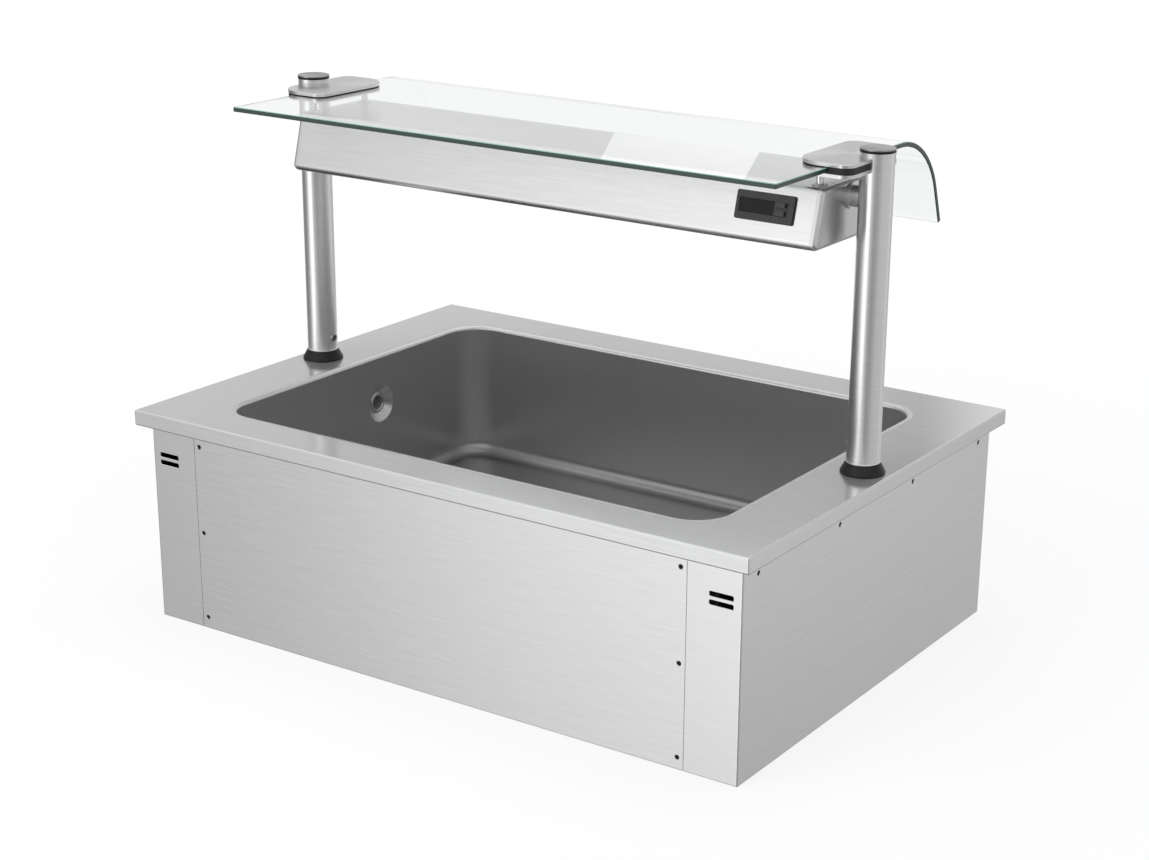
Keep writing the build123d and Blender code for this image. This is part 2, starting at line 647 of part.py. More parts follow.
def drain_waste():
    """Flanged waste with a slotted grid in the well's floor."""
    body = rod(WASTE_FLANGE, (DRAIN_X, DRAIN_Y, FLOOR_Z), UP, WASTE_FLANGE_HEIGHT)
    body = fillet(body.edges().group_by(Axis.Z)[-1], WASTE_FLANGE_HEIGHT / 2)
    tail = FLOOR_Z - FOAM_Z
    body += rod(WASTE_RADIUS, (DRAIN_X, DRAIN_Y, FOAM_Z), UP, tail)
    body -= rod(PIPE_BORE, (DRAIN_X, DRAIN_Y, FOAM_Z), UP, tail - SHEET)
    for index in range(WASTE_SLOTS):
        turn = radians(360 * index / WASTE_SLOTS)
        x = DRAIN_X + WASTE_SLOT_CIRCLE * cos(turn)
        y = DRAIN_Y + WASTE_SLOT_CIRCLE * sin(turn)
        body -= rod(WASTE_SLOT_RADIUS, (x, y, FLOOR_Z - SHEET * 2), UP, SHEET * 2 + WASTE_FLANGE_HEIGHT)
    return body


def drain_pipe():
    """Bend from the waste to the valve."""
    points = [(DRAIN_X, DRAIN_Y, FOAM_Z), (DRAIN_X, DRAIN_Y, PIPE_Z), (DRAIN_X, VALVE_START, PIPE_Z)]
    return pipe(points, PIPE_BEND, PIPE_RADIUS, PIPE_BORE)


def drain_valve_body():
    """Round valve body with a ball chamber and a neck for the stem below it."""
    start = (DRAIN_X, VALVE_START, PIPE_Z)
    body = rod(VALVE_RADIUS, start, BACK, VALVE_LENGTH)
    ends = body.edges().filter_by(GeomType.CIRCLE)
    body = chamfer(ends, (VALVE_RADIUS - PIPE_RADIUS) / 2)
    centre = (DRAIN_X, VALVE_Y, PIPE_Z)
    body += rod(VALVE_NECK, centre, DOWN, VALVE_NECK_REACH)
    body -= rod(PIPE_BORE, start, BACK, VALVE_LENGTH)
    body -= Pos(*centre) * Sphere(BALL_RADIUS + RUNNING_FIT)
    return body - rod(STEM_RADIUS + RUNNING_FIT, centre, DOWN, VALVE_NECK_REACH)


def drain_valve_ball():
    """Ball with its bore across the pipe, and the stem that the lever turns."""
    body = Pos(DRAIN_X, VALVE_Y, PIPE_Z) * Sphere(BALL_RADIUS)
    lever_top = SHEET + LEVER_RISE + LEVER_THICKNESS
    body += rod(STEM_RADIUS, (DRAIN_X, VALVE_Y, lever_top), UP, PIPE_Z - lever_top)
    return body - rod(PIPE_BORE, (DRAIN_X - BALL_RADIUS, VALVE_Y, PIPE_Z), RIGHT, 2 * BALL_RADIUS)


def drain_valve_lever():
    """Flat lever with a rounded end, across the pipe when the drain is shut."""
    low = SHEET + LEVER_RISE
    body = rod(LEVER_HUB, (DRAIN_X, VALVE_Y, low), UP, LEVER_THICKNESS)
    half = LEVER_WIDTH / 2
    straight = LEVER_LENGTH - half
    y = (VALVE_Y - half, VALVE_Y + half)
    body += block((DRAIN_X, DRAIN_X + straight), y, (low, low + LEVER_THICKNESS))
    body += rod(half, (DRAIN_X + straight, VALVE_Y, low), UP, LEVER_THICKNESS)
    return body


def drain_outlet():
    """Pipe from the valve past the overflow tee to a hose nipple behind the casing."""
    start = (DRAIN_X, VALVE_START + VALVE_LENGTH, PIPE_Z)
    body = rod(PIPE_RADIUS, start, BACK, CASE_Y - start[1])
    tee_half = TEE_RADIUS + COLLAR_STEP
    body += rod(TEE_RADIUS, (DRAIN_X, OVERFLOW_Y - tee_half, PIPE_Z), BACK, 2 * tee_half)
    body += rod(TEE_RADIUS, (DRAIN_X, OVERFLOW_Y, PIPE_Z), LEFT, TEE_REACH)
    body += rod(PIPE_RADIUS + COLLAR_STEP, (DRAIN_X, CASE_Y, PIPE_Z), BACK, SERVICE_COLLAR)
    body += rod(NIPPLE_RADIUS, (DRAIN_X, CASE_Y, PIPE_Z), BACK, SERVICE_REACH)
    body -= rod(NIPPLE_RADIUS - SHEET, start, BACK, SERVICE_Y - start[1])
    return body - rod(PIPE_BORE, (DRAIN_X, OVERFLOW_Y, PIPE_Z), LEFT, TEE_REACH)


def junction_box():
    """Open terminal box on the right side panel, with a hole for the control cable."""
    y = (CENTRE_Y - BOX_LENGTH / 2, CENTRE_Y + BOX_LENGTH / 2)
    z = (BOX_TOP_Z - BOX_HEIGHT, BOX_TOP_Z)
    x = (PANEL_X - BOX_DEPTH + BOX_WALL, PANEL_X)
    body = block(x, y, z)
    inner_y = (y[0] + BOX_WALL, y[1] - BOX_WALL)
    inner_z = (z[0] + BOX_WALL, z[1] - BOX_WALL)
    return body - block((x[0], PANEL_X - BOX_WALL), inner_y, inner_z)


def junction_box_lid():
    """Flat lid on the inner side of the terminal box."""
    x = (PANEL_X - BOX_DEPTH, PANEL_X - BOX_DEPTH + BOX_WALL)
    y = (CENTRE_Y - BOX_LENGTH / 2, CENTRE_Y + BOX_LENGTH / 2)
    return block(x, y, (BOX_TOP_Z - BOX_HEIGHT, BOX_TOP_Z))


def cable_gland():
    """Gland for the supply cable in the back panel, with its nut inside."""
    x = CASE_X - GLAND_INSET
    nut_start = PANEL_Y - GLAND_NUT_LENGTH
    body = rod(GLAND_RADIUS, (x, nut_start, GLAND_RISE), BACK, SERVICE_Y - nut_start)
    dome = body.edges().filter_by(GeomType.CIRCLE).sort_by(Axis.Y)[-1]
    body = fillet(dome, GLAND_RADIUS / 3)
    for start in (nut_start, CASE_Y):
        nut = Plane(origin=(x, start, GLAND_RISE), z_dir=BACK) * RegularPolygon(GLAND_NUT, 6)
        body += extrude(nut, GLAND_NUT_LENGTH)
    return body - rod(GLAND_BORE, (x, nut_start, GLAND_RISE), BACK, SERVICE_Y - nut_start)


def control_cable():
    """Cable from the controller through the right boss and post to the terminal box."""
    start = FACE.from_local_coords(Vector(0, 0, -CONTROLLER_DEPTH))
    drop = (start.Y - CENTRE_Y) / -cos(LEAN)
    knee = FACE.from_local_coords(Vector(0, 0, -CONTROLLER_DEPTH - drop))
    points = [
        start,
        knee,
        Vector(HOUSING_X - END_DEPTH - 3 * BOSS_RADIUS, CENTRE_Y, BOSS_Z),
        Vector(POST_X, CENTRE_Y, BOSS_Z),
        Vector(POST_X, CENTRE_Y, BOX_TOP_Z),
    ]
    return run(points, [3 * CABLE_RADIUS, 5 * CABLE_RADIUS, 5 * CABLE_RADIUS], CABLE_RADIUS)


def post():
    """Right post: a tube with a bead over its collar, a seat for the foot screw and a hole for the cable."""
    body = ring(POST_RADIUS, POST_RADIUS - POST_WALL, (POST_X, CENTRE_Y, TOP_Z), UP, POST_HEIGHT)
    bead_z = TOP_Z + COLLAR_HEIGHT + FIT + BEAD_RADIUS
    body += Pos(POST_X, CENTRE_Y, bead_z) * Torus(POST_RADIUS, BEAD_RADIUS)
    body -= rod(FOOT_SCREW_HEAD + FIT, FOOT_SCREW_SEAT, LEFT, POST_RADIUS)
    body -= rod(FOOT_SCREW_RADIUS + FIT, FOOT_SCREW_SEAT, RIGHT, POST_WALL)
    return body - rod(BOSS_BORE, (POST_X, CENTRE_Y, BOSS_Z), LEFT, POST_RADIUS)


def post_collar():
    """Conical trim ring round the right post's foot."""
    bore = POST_RADIUS + FIT
    profile = Polyline(
        (bore, 0),
        (COLLAR_RADIUS, 0),
        (COLLAR_RADIUS, COLLAR_LIP),
        (COLLAR_NECK, COLLAR_HEIGHT),
        (bore, COLLAR_HEIGHT),
        close=True,
    )
    body = revolve(Plane.XZ * make_face(profile), Axis.Z)
    return Pos(POST_X, CENTRE_Y, TOP_Z) * body


def post_foot():
    """Solid foot inside the right post, with a hollow stud through the worktop."""
    centre = (POST_X, CENTRE_Y, TOP_Z)
    body = rod(POST_RADIUS - POST_WALL - FIT, centre, UP, FOOT_HEIGHT)
    stud = SHEET + PLATE_THICKNESS + NUT_HEIGHT + STUD_END
    body += rod(STUD_RADIUS, centre, DOWN, stud)
    body -= rod(FOOT_BORE, (POST_X, CENTRE_Y, TOP_Z - stud), UP, stud + FOOT_HEIGHT)
    return body - rod(FOOT_SCREW_RADIUS + FIT, FOOT_SCREW_SEAT, RIGHT, FOOT_SCREW_LENGTH)


def backing_plate():
    """Plate under the worktop that spreads the right post's load."""
    x = (FOAM_X + SEAM, PANEL_X - SKIRT - SEAM)
    y = (CENTRE_Y - PLATE_LENGTH / 2, CENTRE_Y + PLATE_LENGTH / 2)
    body = block(x, y, (UNDER_TOP_Z - PLATE_THICKNESS, UNDER_TOP_Z))
    return body - rod(STUD_RADIUS + FIT, (POST_X, CENTRE_Y, UNDER_TOP_Z), DOWN, PLATE_THICKNESS)


def foot_nut():
    """Hexagon nut on the right foot's stud."""
    low = UNDER_TOP_Z - PLATE_THICKNESS - NUT_HEIGHT
    outline = Pos(POST_X, CENTRE_Y, low) * RegularPolygon(NUT_FLATS / 2, 6, major_radius=False)
    return extrude(outline, NUT_HEIGHT) - rod(STUD_RADIUS + FIT / 2, (POST_X, CENTRE_Y, low), UP, NUT_HEIGHT)


def foot_screw():
    """Domed socket screw on the well's side of the right post, into the foot."""
    head = rod(FOOT_SCREW_HEAD, FOOT_SCREW_SEAT, LEFT, FOOT_SCREW_HEAD_HEIGHT)
    head = fillet(head.edges().filter_by(GeomType.CIRCLE).sort_by(Axis.X)[0], FOOT_SCREW_DOME)
    body = head + rod(FOOT_SCREW_RADIUS, FOOT_SCREW_SEAT, RIGHT, FOOT_SCREW_LENGTH)
    crown = tuple(Vector(*FOOT_SCREW_SEAT) + Vector(*LEFT) * FOOT_SCREW_HEAD_HEIGHT)
    socket = Plane(origin=crown, z_dir=RIGHT) * RegularPolygon(FOOT_SCREW_SOCKET, 6)
    return body - extrude(socket, FOOT_SCREW_SOCKET_DEPTH)


def post_cap_ring():
    """Black ring between the right post and its cap."""
    return ring(CAP_RADIUS, POST_RADIUS - POST_WALL, (POST_X, CENTRE_Y, POST_TOP_Z), UP, CAP_RING)


def post_cap():
    """Steel disc with a spigot down inside the right post."""
    low = POST_TOP_Z + CAP_RING
    body = rod(CAP_RADIUS, (POST_X, CENTRE_Y, low), UP, CAP_DISC)
    body = fillet(body.edges().group_by(Axis.Z)[-1], CAP_EDGE)
    spigot = POST_RADIUS - POST_WALL - FIT
    return body + rod(spigot, (POST_X, CENTRE_Y, low), DOWN, CAP_RING + CAP_SPIGOT)


def clamp_outline(inset):
    """Plan of a clamp plate: two opposite corners are large and two are small."""
    x = (POST_X - CLAMP_INNER + inset, POST_X + CLAMP_OUTER - inset)
    half = CLAMP_LENGTH / 2 - inset
    middle = (x[0] + x[1]) / 2
    outline = Pos(middle, CENTRE_Y) * Rectangle(x[1] - x[0], 2 * half)
    by_x = outline.vertices().sort_by(Axis.X)
    inner = by_x[:2].sort_by(Axis.Y)
    outer = by_x[2:].sort_by(Axis.Y)
    outline = fillet([inner[0], outer[1]], CLAMP_BIG_CORNER - inset)
    by_x = [v for v in outline.vertices() if abs(v.X - x[0]) < FIT and abs(v.Y - CENTRE_Y - half) < FIT]
    by_x += [v for v in outline.vertices() if abs(v.X - x[1]) < FIT and abs(v.Y - CENTRE_Y + half) < FIT]
    return fillet(by_x, CLAMP_SMALL_CORNER - inset)


def pin_places():
    """The two standoff pins of the right clamp."""
    x = POST_X - PIN_TO_POST
    return [(x, CENTRE_Y - PIN_SPACING / 2), (x, CENTRE_Y + PIN_SPACING / 2)]


def clamp_layer(inset, low, high):
    """One layer of the right clamp, notched for the post."""
    body = extrude(Pos(0, 0, low) * clamp_outline(inset), high - low)
    return body - rod(POST_RADIUS + FIT, (POST_X, CENTRE_Y, low), UP, high - low)


def clamp_top():
    """Top plate with softened upper edges."""
    body = extrude(Pos(0, 0, GASKET_TOP_Z) * clamp_outline(0), CLAMP_PLATE)
    body = fillet(body.edges().group_by(Axis.Z)[-1], CLAMP_EDGE)
    return body - rod(POST_RADIUS + FIT, (POST_X, CENTRE_Y, GASKET_TOP_Z), UP, CLAMP_PLATE)


def clamp_gasket():
    """Rubber between the plates, slotted for the edge of the glass."""
    body = clamp_layer(GASKET_INSET, GASKET_Z, GASKET_TOP_Z)
    reach = CLAMP_LENGTH
    y = (CENTRE_Y - reach, CENTRE_Y + reach)
    body -= block((GLASS_X - reach, GLASS_X + FIT), y, (GLASS_Z, GLASS_Z + GLASS_THICKNESS))
    for x, place in pin_places():
        body -= rod(PIN_RADIUS + FIT, (x, place, GASKET_Z), UP, GASKET_TOP_Z - GASKET_Z)
    return body


def clamp_bottom():
    """Bottom plate with holes for the standoff pins."""
    body = clamp_layer(0, GASKET_Z - CLAMP_PLATE, GASKET_Z)
    for x, place in pin_places():
        body -= rod(PIN_RADIUS + FIT, (x, place, GASKET_Z - CLAMP_PLATE), UP, CLAMP_PLATE)
    return body


def standoff_pin(place):
    """Pin from under the top plate through the glass to the inside of the housing."""
    low = HOUSING_TOP_Z - PIN_TAIL
    return rod(PIN_RADIUS, (*place, low), UP, GASKET_TOP_Z - low)


def standoff_washer(place):
    """Washer round a pin on top of the housing."""
    body = ring(WASHER_RADIUS, PIN_RADIUS + FIT, (*place, HOUSING_TOP_Z), UP, WASHER_HEIGHT)
    outer = body.edges().filter_by(GeomType.CIRCLE).group_by(Axis.Z)[-1].sort_by(SortBy.RADIUS)[-1]
    return fillet(outer, WASHER_HEIGHT / 2)


def glass_canopy():
    """Bent glass sheet: flat over the well, then down in one bend and a short straight tail."""
    top = GLASS_Z + GLASS_THICKNESS
    front = CENTRE_Y - GLASS_FRONT
    bend = CENTRE_Y + GLASS_FLAT_BACK
    end_angle = 90 - GLASS_BEND_ANGLE
    centre = (bend, top - GLASS_BEND)
    out = Vector(cos(radians(end_angle)), sin(radians(end_angle)))
    along = Vector(out.Y, -out.X) * GLASS_TAIL
    rim = Vector(*centre) + out * GLASS_BEND
    hollow = Vector(*centre) + out * (GLASS_BEND - GLASS_THICKNESS)
    edges = [
        Line((front, top), (bend, top)),
        CenterArc(centre, GLASS_BEND, 90, -GLASS_BEND_ANGLE),
        Polyline(rim, rim + along, hollow + along, hollow),
        CenterArc(centre, GLASS_BEND - GLASS_THICKNESS, end_angle, GLASS_BEND_ANGLE),
        Polyline((bend, GLASS_Z), (front, GLASS_Z), (front, top)),
    ]
    section = make_face(Curve() + edges)
    body = extrude(Plane.YZ.offset(-GLASS_X) * section, 2 * GLASS_X)
    body = chamfer(body.edges(), GLASS_EDGE)
    for x, place in pin_places():
        hole = rod(PIN_RADIUS + FIT, (x, place, GLASS_Z), UP, GLASS_THICKNESS)
        body -= hole + half_turn(hole)
    return body


def housing_section(inset):
    """Section of the light housing across its length, drawn in the YZ plane."""
    base = [(-HOUSING_BASE_HALF, 0), (HOUSING_BASE_HALF, 0)]
    top = [(HOUSING_TOP_HALF, HOUSING_HEIGHT), (-HOUSING_TOP_HALF, HOUSING_HEIGHT)]
    outline = make_face(Polyline(*base, *top, close=True))
    outline = fillet(outline.vertices().group_by(Axis.Y)[0], HOUSING_BASE_ROUND)
    outline = fillet(outline.vertices().group_by(Axis.Y)[-1].sort_by(Axis.X)[0], HOUSING_TOP_ROUND)
    outline = fillet(outline.vertices().group_by(Axis.Y)[-1].sort_by(Axis.X)[-1], HOUSING_TOP_ROUND)
    if inset:
        outline = offset(outline, -inset)
    return Plane.YZ * Pos(CENTRE_Y, HOUSING_Z) * outline


def housing_shell():
    """Folded sheet with an open underside, cut for the controller and the pins."""
    half = HOUSING_X - END_DEPTH
    body = extrude(Pos(-half, 0, 0) * housing_section(0), 2 * half)
    body -= extrude(Pos(-half, 0, 0) * housing_section(HOUSING_SHEET), 2 * half)
    open_half = HOUSING_BASE_HALF - HOUSING_LIP
    y = (CENTRE_Y - open_half, CENTRE_Y + open_half)
    body -= block((-half, half), y, (HOUSING_Z, HOUSING_Z + HOUSING_SHEET))
    cut = Rectangle(CONTROLLER_WIDTH + 2 * FIT, CONTROLLER_HEIGHT + 2 * FIT)
    body -= extrude(FACE * cut, HOUSING_SHEET * 2, both=True)
    for place in pin_places():
        hole = rod(PIN_RADIUS + FIT, (*place, HOUSING_TOP_Z), DOWN, HOUSING_SHEET)
        body -= hole + half_turn(hole)
    return body


def housing_end():
    """Pressed right end of the housing, rounded all round, with the cable hole."""
    start = HOUSING_X - END_DEPTH
    body = extrude(Pos(start, 0, 0) * housing_section(0), END_DEPTH)
    body = fillet(body.faces().sort_by(Axis.X)[-1].edges(), END_ROUND)
    body -= extrude(Pos(start, 0, 0) * housing_section(HOUSING_SHEET), END_DEPTH - END_ROUND)
    return body - rod(BOSS_BORE, (start, CENTRE_Y, BOSS_Z), RIGHT, END_DEPTH)


def light_diffuser():
    """Clear sheet that lies on the housing's lips."""
    half = HOUSING_X - END_DEPTH
    seat = HOUSING_BASE_HALF - HOUSING_LIP + DIFFUSER_SEAT
    low = HOUSING_Z + HOUSING_SHEET
    return block((-half, half), (CENTRE_Y - seat, CENTRE_Y + seat), (low, low + DIFFUSER_THICKNESS))


def led_strip():
    """Light board under the housing's top with a row of light sources."""
    half = HOUSING_X - END_DEPTH - LED_INSET
    top = HOUSING_TOP_Z - HOUSING_SHEET
    y = (CENTRE_Y - LED_WIDTH / 2, CENTRE_Y + LED_WIDTH / 2)
    low = top - LED_BOARD
    body = block((-half, half), y, (low, top))
    for x in spread(half - LED_SIZE, LED_COUNT):
        body += Pos(x, CENTRE_Y, low - LED_HEIGHT / 2) * Box(LED_SIZE, LED_SIZE, LED_HEIGHT)
    return body


def housing_boss():
    """Round boss from the housing's right end to the post, with a flange and a cable bore."""
    start = (HOUSING_X, CENTRE_Y, BOSS_Z)
    body = rod(BOSS_RADIUS, start, RIGHT, POST_X - HOUSING_X)
    body += rod(BOSS_FLANGE, start, RIGHT, BOSS_FLANGE_THICKNESS)
    body -= rod(POST_RADIUS + FIT, (POST_X, CENTRE_Y, BOSS_Z - BOSS_FLANGE), UP, 2 * BOSS_FLANGE)
    return body - rod(BOSS_BORE, start, RIGHT, POST_X - HOUSING_X)


def face_block(width, height, corner, offset_x, offset_y, low, high):
    """Block on the housing's leaning front, given in that face's frame."""
    outline = Pos(offset_x, offset_y, low) * RectangleRounded(width, height, corner)
    return FACE * extrude(outline, high - low)


def controller_body():
    """Panel instrument: a bezel on the face and a case behind it, with a window recess and key wells."""
    bezel = face_block(BEZEL_WIDTH, BEZEL_HEIGHT, BEZEL_CORNER, 0, 0, 0, BEZEL_THICKNESS)
    rim = bezel.faces().sort_by(Axis(FACE.origin, FACE.z_dir))[-1].edges()
    body = fillet(rim, BEZEL_EDGE)
    body += face_block(CONTROLLER_WIDTH, CONTROLLER_HEIGHT, BEZEL_CORNER, 0, 0, -CONTROLLER_DEPTH, 0)
    recess = BEZEL_THICKNESS - WINDOW_THICKNESS - WINDOW_SINK
    wide = WINDOW_WIDTH + FIT
    body -= face_block(wide, WINDOW_HEIGHT + FIT, KEY_CORNER, WINDOW_OFFSET, 0, recess, BEZEL_THICKNESS)
    well = BEZEL_THICKNESS + KEY_PROUD - KEY_DEPTH - KEY_TRAVEL - KEY_STOP
    for side in (-1, 1):
        key_y = side * KEY_PITCH / 2
        high = KEY_HEIGHT + 2 * FIT
        body -= face_block(KEY_WIDTH + 2 * FIT, high, KEY_CORNER, KEY_OFFSET, key_y, well, BEZEL_THICKNESS)
    return body


def controller_window():
    """Dark display window, a little below the bezel's face."""
    low = BEZEL_THICKNESS - WINDOW_THICKNESS - WINDOW_SINK
    return face_block(WINDOW_WIDTH, WINDOW_HEIGHT, KEY_CORNER, WINDOW_OFFSET, 0, low, low + WINDOW_THICKNESS)


def controller_key(side):
    """One of the two keys, above or below the middle of the controller."""
    high = BEZEL_THICKNESS + KEY_PROUD
    key_y = side * KEY_PITCH / 2
    body = face_block(KEY_WIDTH, KEY_HEIGHT, KEY_CORNER, KEY_OFFSET, key_y, high - KEY_DEPTH, high)
    rim = body.faces().sort_by(Axis(FACE.origin, FACE.z_dir))[-1].edges()
    return fillet(rim, KEY_ROUND)


def main():
    os.makedirs("parts", exist_ok=True)
    save("worktop", worktop())
    save("well_tub", well_tub())
    save("skirt_frame", skirt_frame())
    save("front_panel", front_panel())
    right_side = side_panel_right()
    save("side_panel_right", right_side)
    save("side_panel_left", mirrored(right_side))
    save("back_panel", back_panel())
    save("bottom_panel", bottom_panel())
    save("front_panel_screws", *[panel_screw(spot) for spot in FRONT_SCREWS])
    save("side_panel_screws", *[panel_screw(spot) for spot in RIGHT_SCREWS + LEFT_SCREWS])
    save("back_panel_screws", *[panel_screw(spot) for spot in BACK_SCREW_SPOTS])
    bracket = corner_bracket()
    save("corner_brackets", bracket, mirrored(bracket))

    save("insulation_jacket", insulation_jacket())
    save("evaporator_coil", evaporator_coil())
    save("expansion_valve", expansion_valve())
    save("liquid_line", refrigerant_line(COIL_RADIUS, COIL_BORE, COIL_END_Y + EXPANSION_LENGTH, COIL_TOP_Z))
    save("suction_line", refrigerant_line(SUCTION_RADIUS, SUCTION_BORE, COIL_END_Y, COIL_LAST_Z))
    save("temperature_probe", temperature_probe())

    save("overflow_pipe", overflow_pipe())
    save("drain_waste", drain_waste())
    save("drain_pipe", drain_pipe())
    save("drain_valve_body", drain_valve_body())
    save("drain_valve_ball", drain_valve_ball())
    save("drain_valve_lever", drain_valve_lever())
    save("drain_outlet", drain_outlet())

    save("junction_box", junction_box())
    save("junction_box_lid", junction_box_lid())
    save("cable_gland", cable_gland())
    save("control_cable", control_cable())

    for name, shape in (("post", post()), ("post_collar", post_collar())):
        save(f"{name}_right", shape)
        save(f"{name}_left", half_turn(shape))
    small = {
        "post_feet": post_foot(),
        "post_backing_plates": backing_plate(),
        "post_foot_nuts": foot_nut(),
        "post_foot_screws": foot_screw(),
        "post_cap_rings": post_cap_ring(),
        "post_caps": post_cap(),
        "housing_bosses": housing_boss(),
    }
    for name, shape in small.items():
        save(name, shape, half_turn(shape))
    layers = (("clamp_top", clamp_top()), ("clamp_gasket", clamp_gasket()), ("clamp_bottom", clamp_bottom()))
    for name, shape in layers:
        save(f"{name}_right", shape)
        save(f"{name}_left", half_turn(shape))
    pins = [standoff_pin(place) for place in pin_places()]
    washers = [standoff_washer(place) for place in pin_places()]
    save("standoff_pins", *pins, *[half_turn(pin) for pin in pins])
    save("standoff_washers", *washers, *[half_turn(washer) for washer in washers])
    save("glass_canopy", glass_canopy())

    save("housing_shell", housing_shell())
    end = housing_end()
    save("housing_end_right", end)
    save("housing_end_left", half_turn(end))
    save("light_diffuser", light_diffuser())
    save("led_strip", led_strip())
    save("controller_body", controller_body())
    save("controller_window", controller_window())
    save("key_up", controller_key(1))
    save("key_down", controller_key(-1))


main()
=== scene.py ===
"""Finishes, small details and studio for a drop-in ice cream display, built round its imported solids."""

import json
import math
from functools import reduce
from typing import NamedTuple

import bmesh
import bpy
from bpy.props import FloatProperty, FloatVectorProperty, PointerProperty
from mathutils import Matrix, Vector


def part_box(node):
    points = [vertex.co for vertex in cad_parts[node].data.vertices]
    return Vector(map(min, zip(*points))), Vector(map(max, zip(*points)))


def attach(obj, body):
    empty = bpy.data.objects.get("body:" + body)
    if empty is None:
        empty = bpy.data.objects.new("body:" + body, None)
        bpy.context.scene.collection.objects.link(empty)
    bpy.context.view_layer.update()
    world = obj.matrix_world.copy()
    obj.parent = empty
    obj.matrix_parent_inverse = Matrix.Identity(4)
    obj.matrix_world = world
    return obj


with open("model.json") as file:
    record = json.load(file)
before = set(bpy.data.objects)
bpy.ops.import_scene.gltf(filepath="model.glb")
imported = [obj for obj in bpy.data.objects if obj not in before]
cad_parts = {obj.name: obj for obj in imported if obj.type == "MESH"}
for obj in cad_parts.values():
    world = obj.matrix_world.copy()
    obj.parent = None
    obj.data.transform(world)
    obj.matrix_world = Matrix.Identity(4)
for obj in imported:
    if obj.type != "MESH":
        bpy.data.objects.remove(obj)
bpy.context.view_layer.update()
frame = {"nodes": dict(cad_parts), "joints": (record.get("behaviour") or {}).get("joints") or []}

bl_info = {
    "name": "Drop-in ice cream display",
    "version": (1, 0, 0),
    "blender": (4, 5, 0),
    "location": "View3D > Sidebar > Display",
    "description": "Dresses a drop-in cold well with a glass canopy and sets up its studio",
    "category": "3D View",
}

NODES = frame["nodes"]
MILLI = 0.001
WHITE = (1, 1, 1, 1)


def colour_prop(label, words, value):
    """Colour setting with three channels."""
    return FloatVectorProperty(
        name=label, description=words, default=value, size=3, min=0, max=1, subtype="COLOR"
    )


def length_prop(label, words, value):
    """Length setting in metres."""
    return FloatProperty(
        name=label, description=words, default=value, min=0, subtype="DISTANCE", unit="LENGTH"
    )


def share_prop(label, words, value):
    """Setting between nothing and all."""
    return FloatProperty(name=label, description=words, default=value, min=0, max=1, subtype="FACTOR")


def power_prop(label, words, value):
    """Power of a lamp in watts."""
    return FloatProperty(name=label, description=words, default=value, min=0, unit="POWER")


class SteelLook(bpy.types.PropertyGroup):
    """Colours and grinding of the stainless pieces."""

    worktop: colour_prop("Worktop", "Colour of the worktop sheet", (0.64, 0.65, 0.645))
    well: colour_prop("Well", "Colour of the pressed well", (0.65, 0.65, 0.65))
    panels: colour_prop("Panels", "Colour of the casing panels", (0.68, 0.68, 0.68))
    posts: colour_prop("Posts", "Colour of the posts and bosses", (0.73, 0.73, 0.73))
    clamps: colour_prop("Clamps", "Colour of the clamp plates", (0.645, 0.64, 0.64))
    caps: colour_prop("Caps", "Colour of the post caps", (0.34, 0.34, 0.34))
    housing: colour_prop("Housing", "Colour of the light housing", (0.68, 0.68, 0.68))
    frame: colour_prop("Hidden frame", "Colour of the zinc-coated inner pieces", (0.52, 0.53, 0.55))
    grain: share_prop("Grain", "How strongly the grinding lines show", 0.34)


class TrimLook(bpy.types.PropertyGroup):
    """Colours of the fasteners, the rubber and the hidden pieces."""

    panel_screws: colour_prop("Panel screws", "Colour of the black screws", (0.006, 0.006, 0.006))
    plain_steel: colour_prop("Plain steel", "Colour of nuts, washers and the probe", (0.5, 0.5, 0.5))
    bright_steel: colour_prop("Bright steel", "Colour of the pins and the drain ball", (0.72, 0.72, 0.72))
    foot_screws: colour_prop("Foot screws", "Colour of the screws in the posts", (0.40, 0.40, 0.40))
    collars: colour_prop("Collars", "Colour of the collars and cap rings", (0.008, 0.008, 0.008))
    gaskets: colour_prop("Gaskets", "Colour of the clamps' gaskets", (0.012, 0.012, 0.012))
    # Painted light: a pale colour on the brackets lightens the shade in the panel seams.
    brackets: colour_prop("Brackets", "Colour of the brackets behind the seams", (0.80, 0.80, 0.80))
    diffuser: colour_prop("Diffuser", "Colour of the milky sheet under the lamps", (0.86, 0.87, 0.85))
    lamp_board: colour_prop("Lamp board", "Colour of the board under the lamps", (0.8, 0.8, 0.76))
    foam: colour_prop("Foam", "Colour of the insulation", (0.022, 0.022, 0.023))
    copper: colour_prop("Copper", "Colour of the coil and refrigerant lines", (0.72, 0.36, 0.22))
    brass: colour_prop("Brass", "Colour of the valves", (0.70, 0.52, 0.22))
    pipes: colour_prop("Pipes", "Colour of the plastic pipes", (0.36, 0.37, 0.38))
    lever: colour_prop("Lever", "Colour of the drain lever's coat", (0.45, 0.025, 0.02))
    box: colour_prop("Junction box", "Colour of the box and its lid", (0.52, 0.53, 0.52))
    cable: colour_prop("Cable", "Colour of the control cable and the gland", (0.015, 0.015, 0.016))


class GlassLook(bpy.types.PropertyGroup):
    """Canopy glass."""

    tint: colour_prop("Tint", "Colour of light through the sheet", (0.94, 0.965, 0.955))
    edge: colour_prop("Edge", "Colour of the ground edges", (0.026, 0.050, 0.043))
    # Painted highlight on the upward bevels of the glass edges.
    arris_highlight: colour_prop("Arris", "Colour of the small bevels along the edges", (0.22, 0.40, 0.35))
    edge_width: length_prop("Edge width", "How far the edge colour reaches in from the rim", 0.0012)


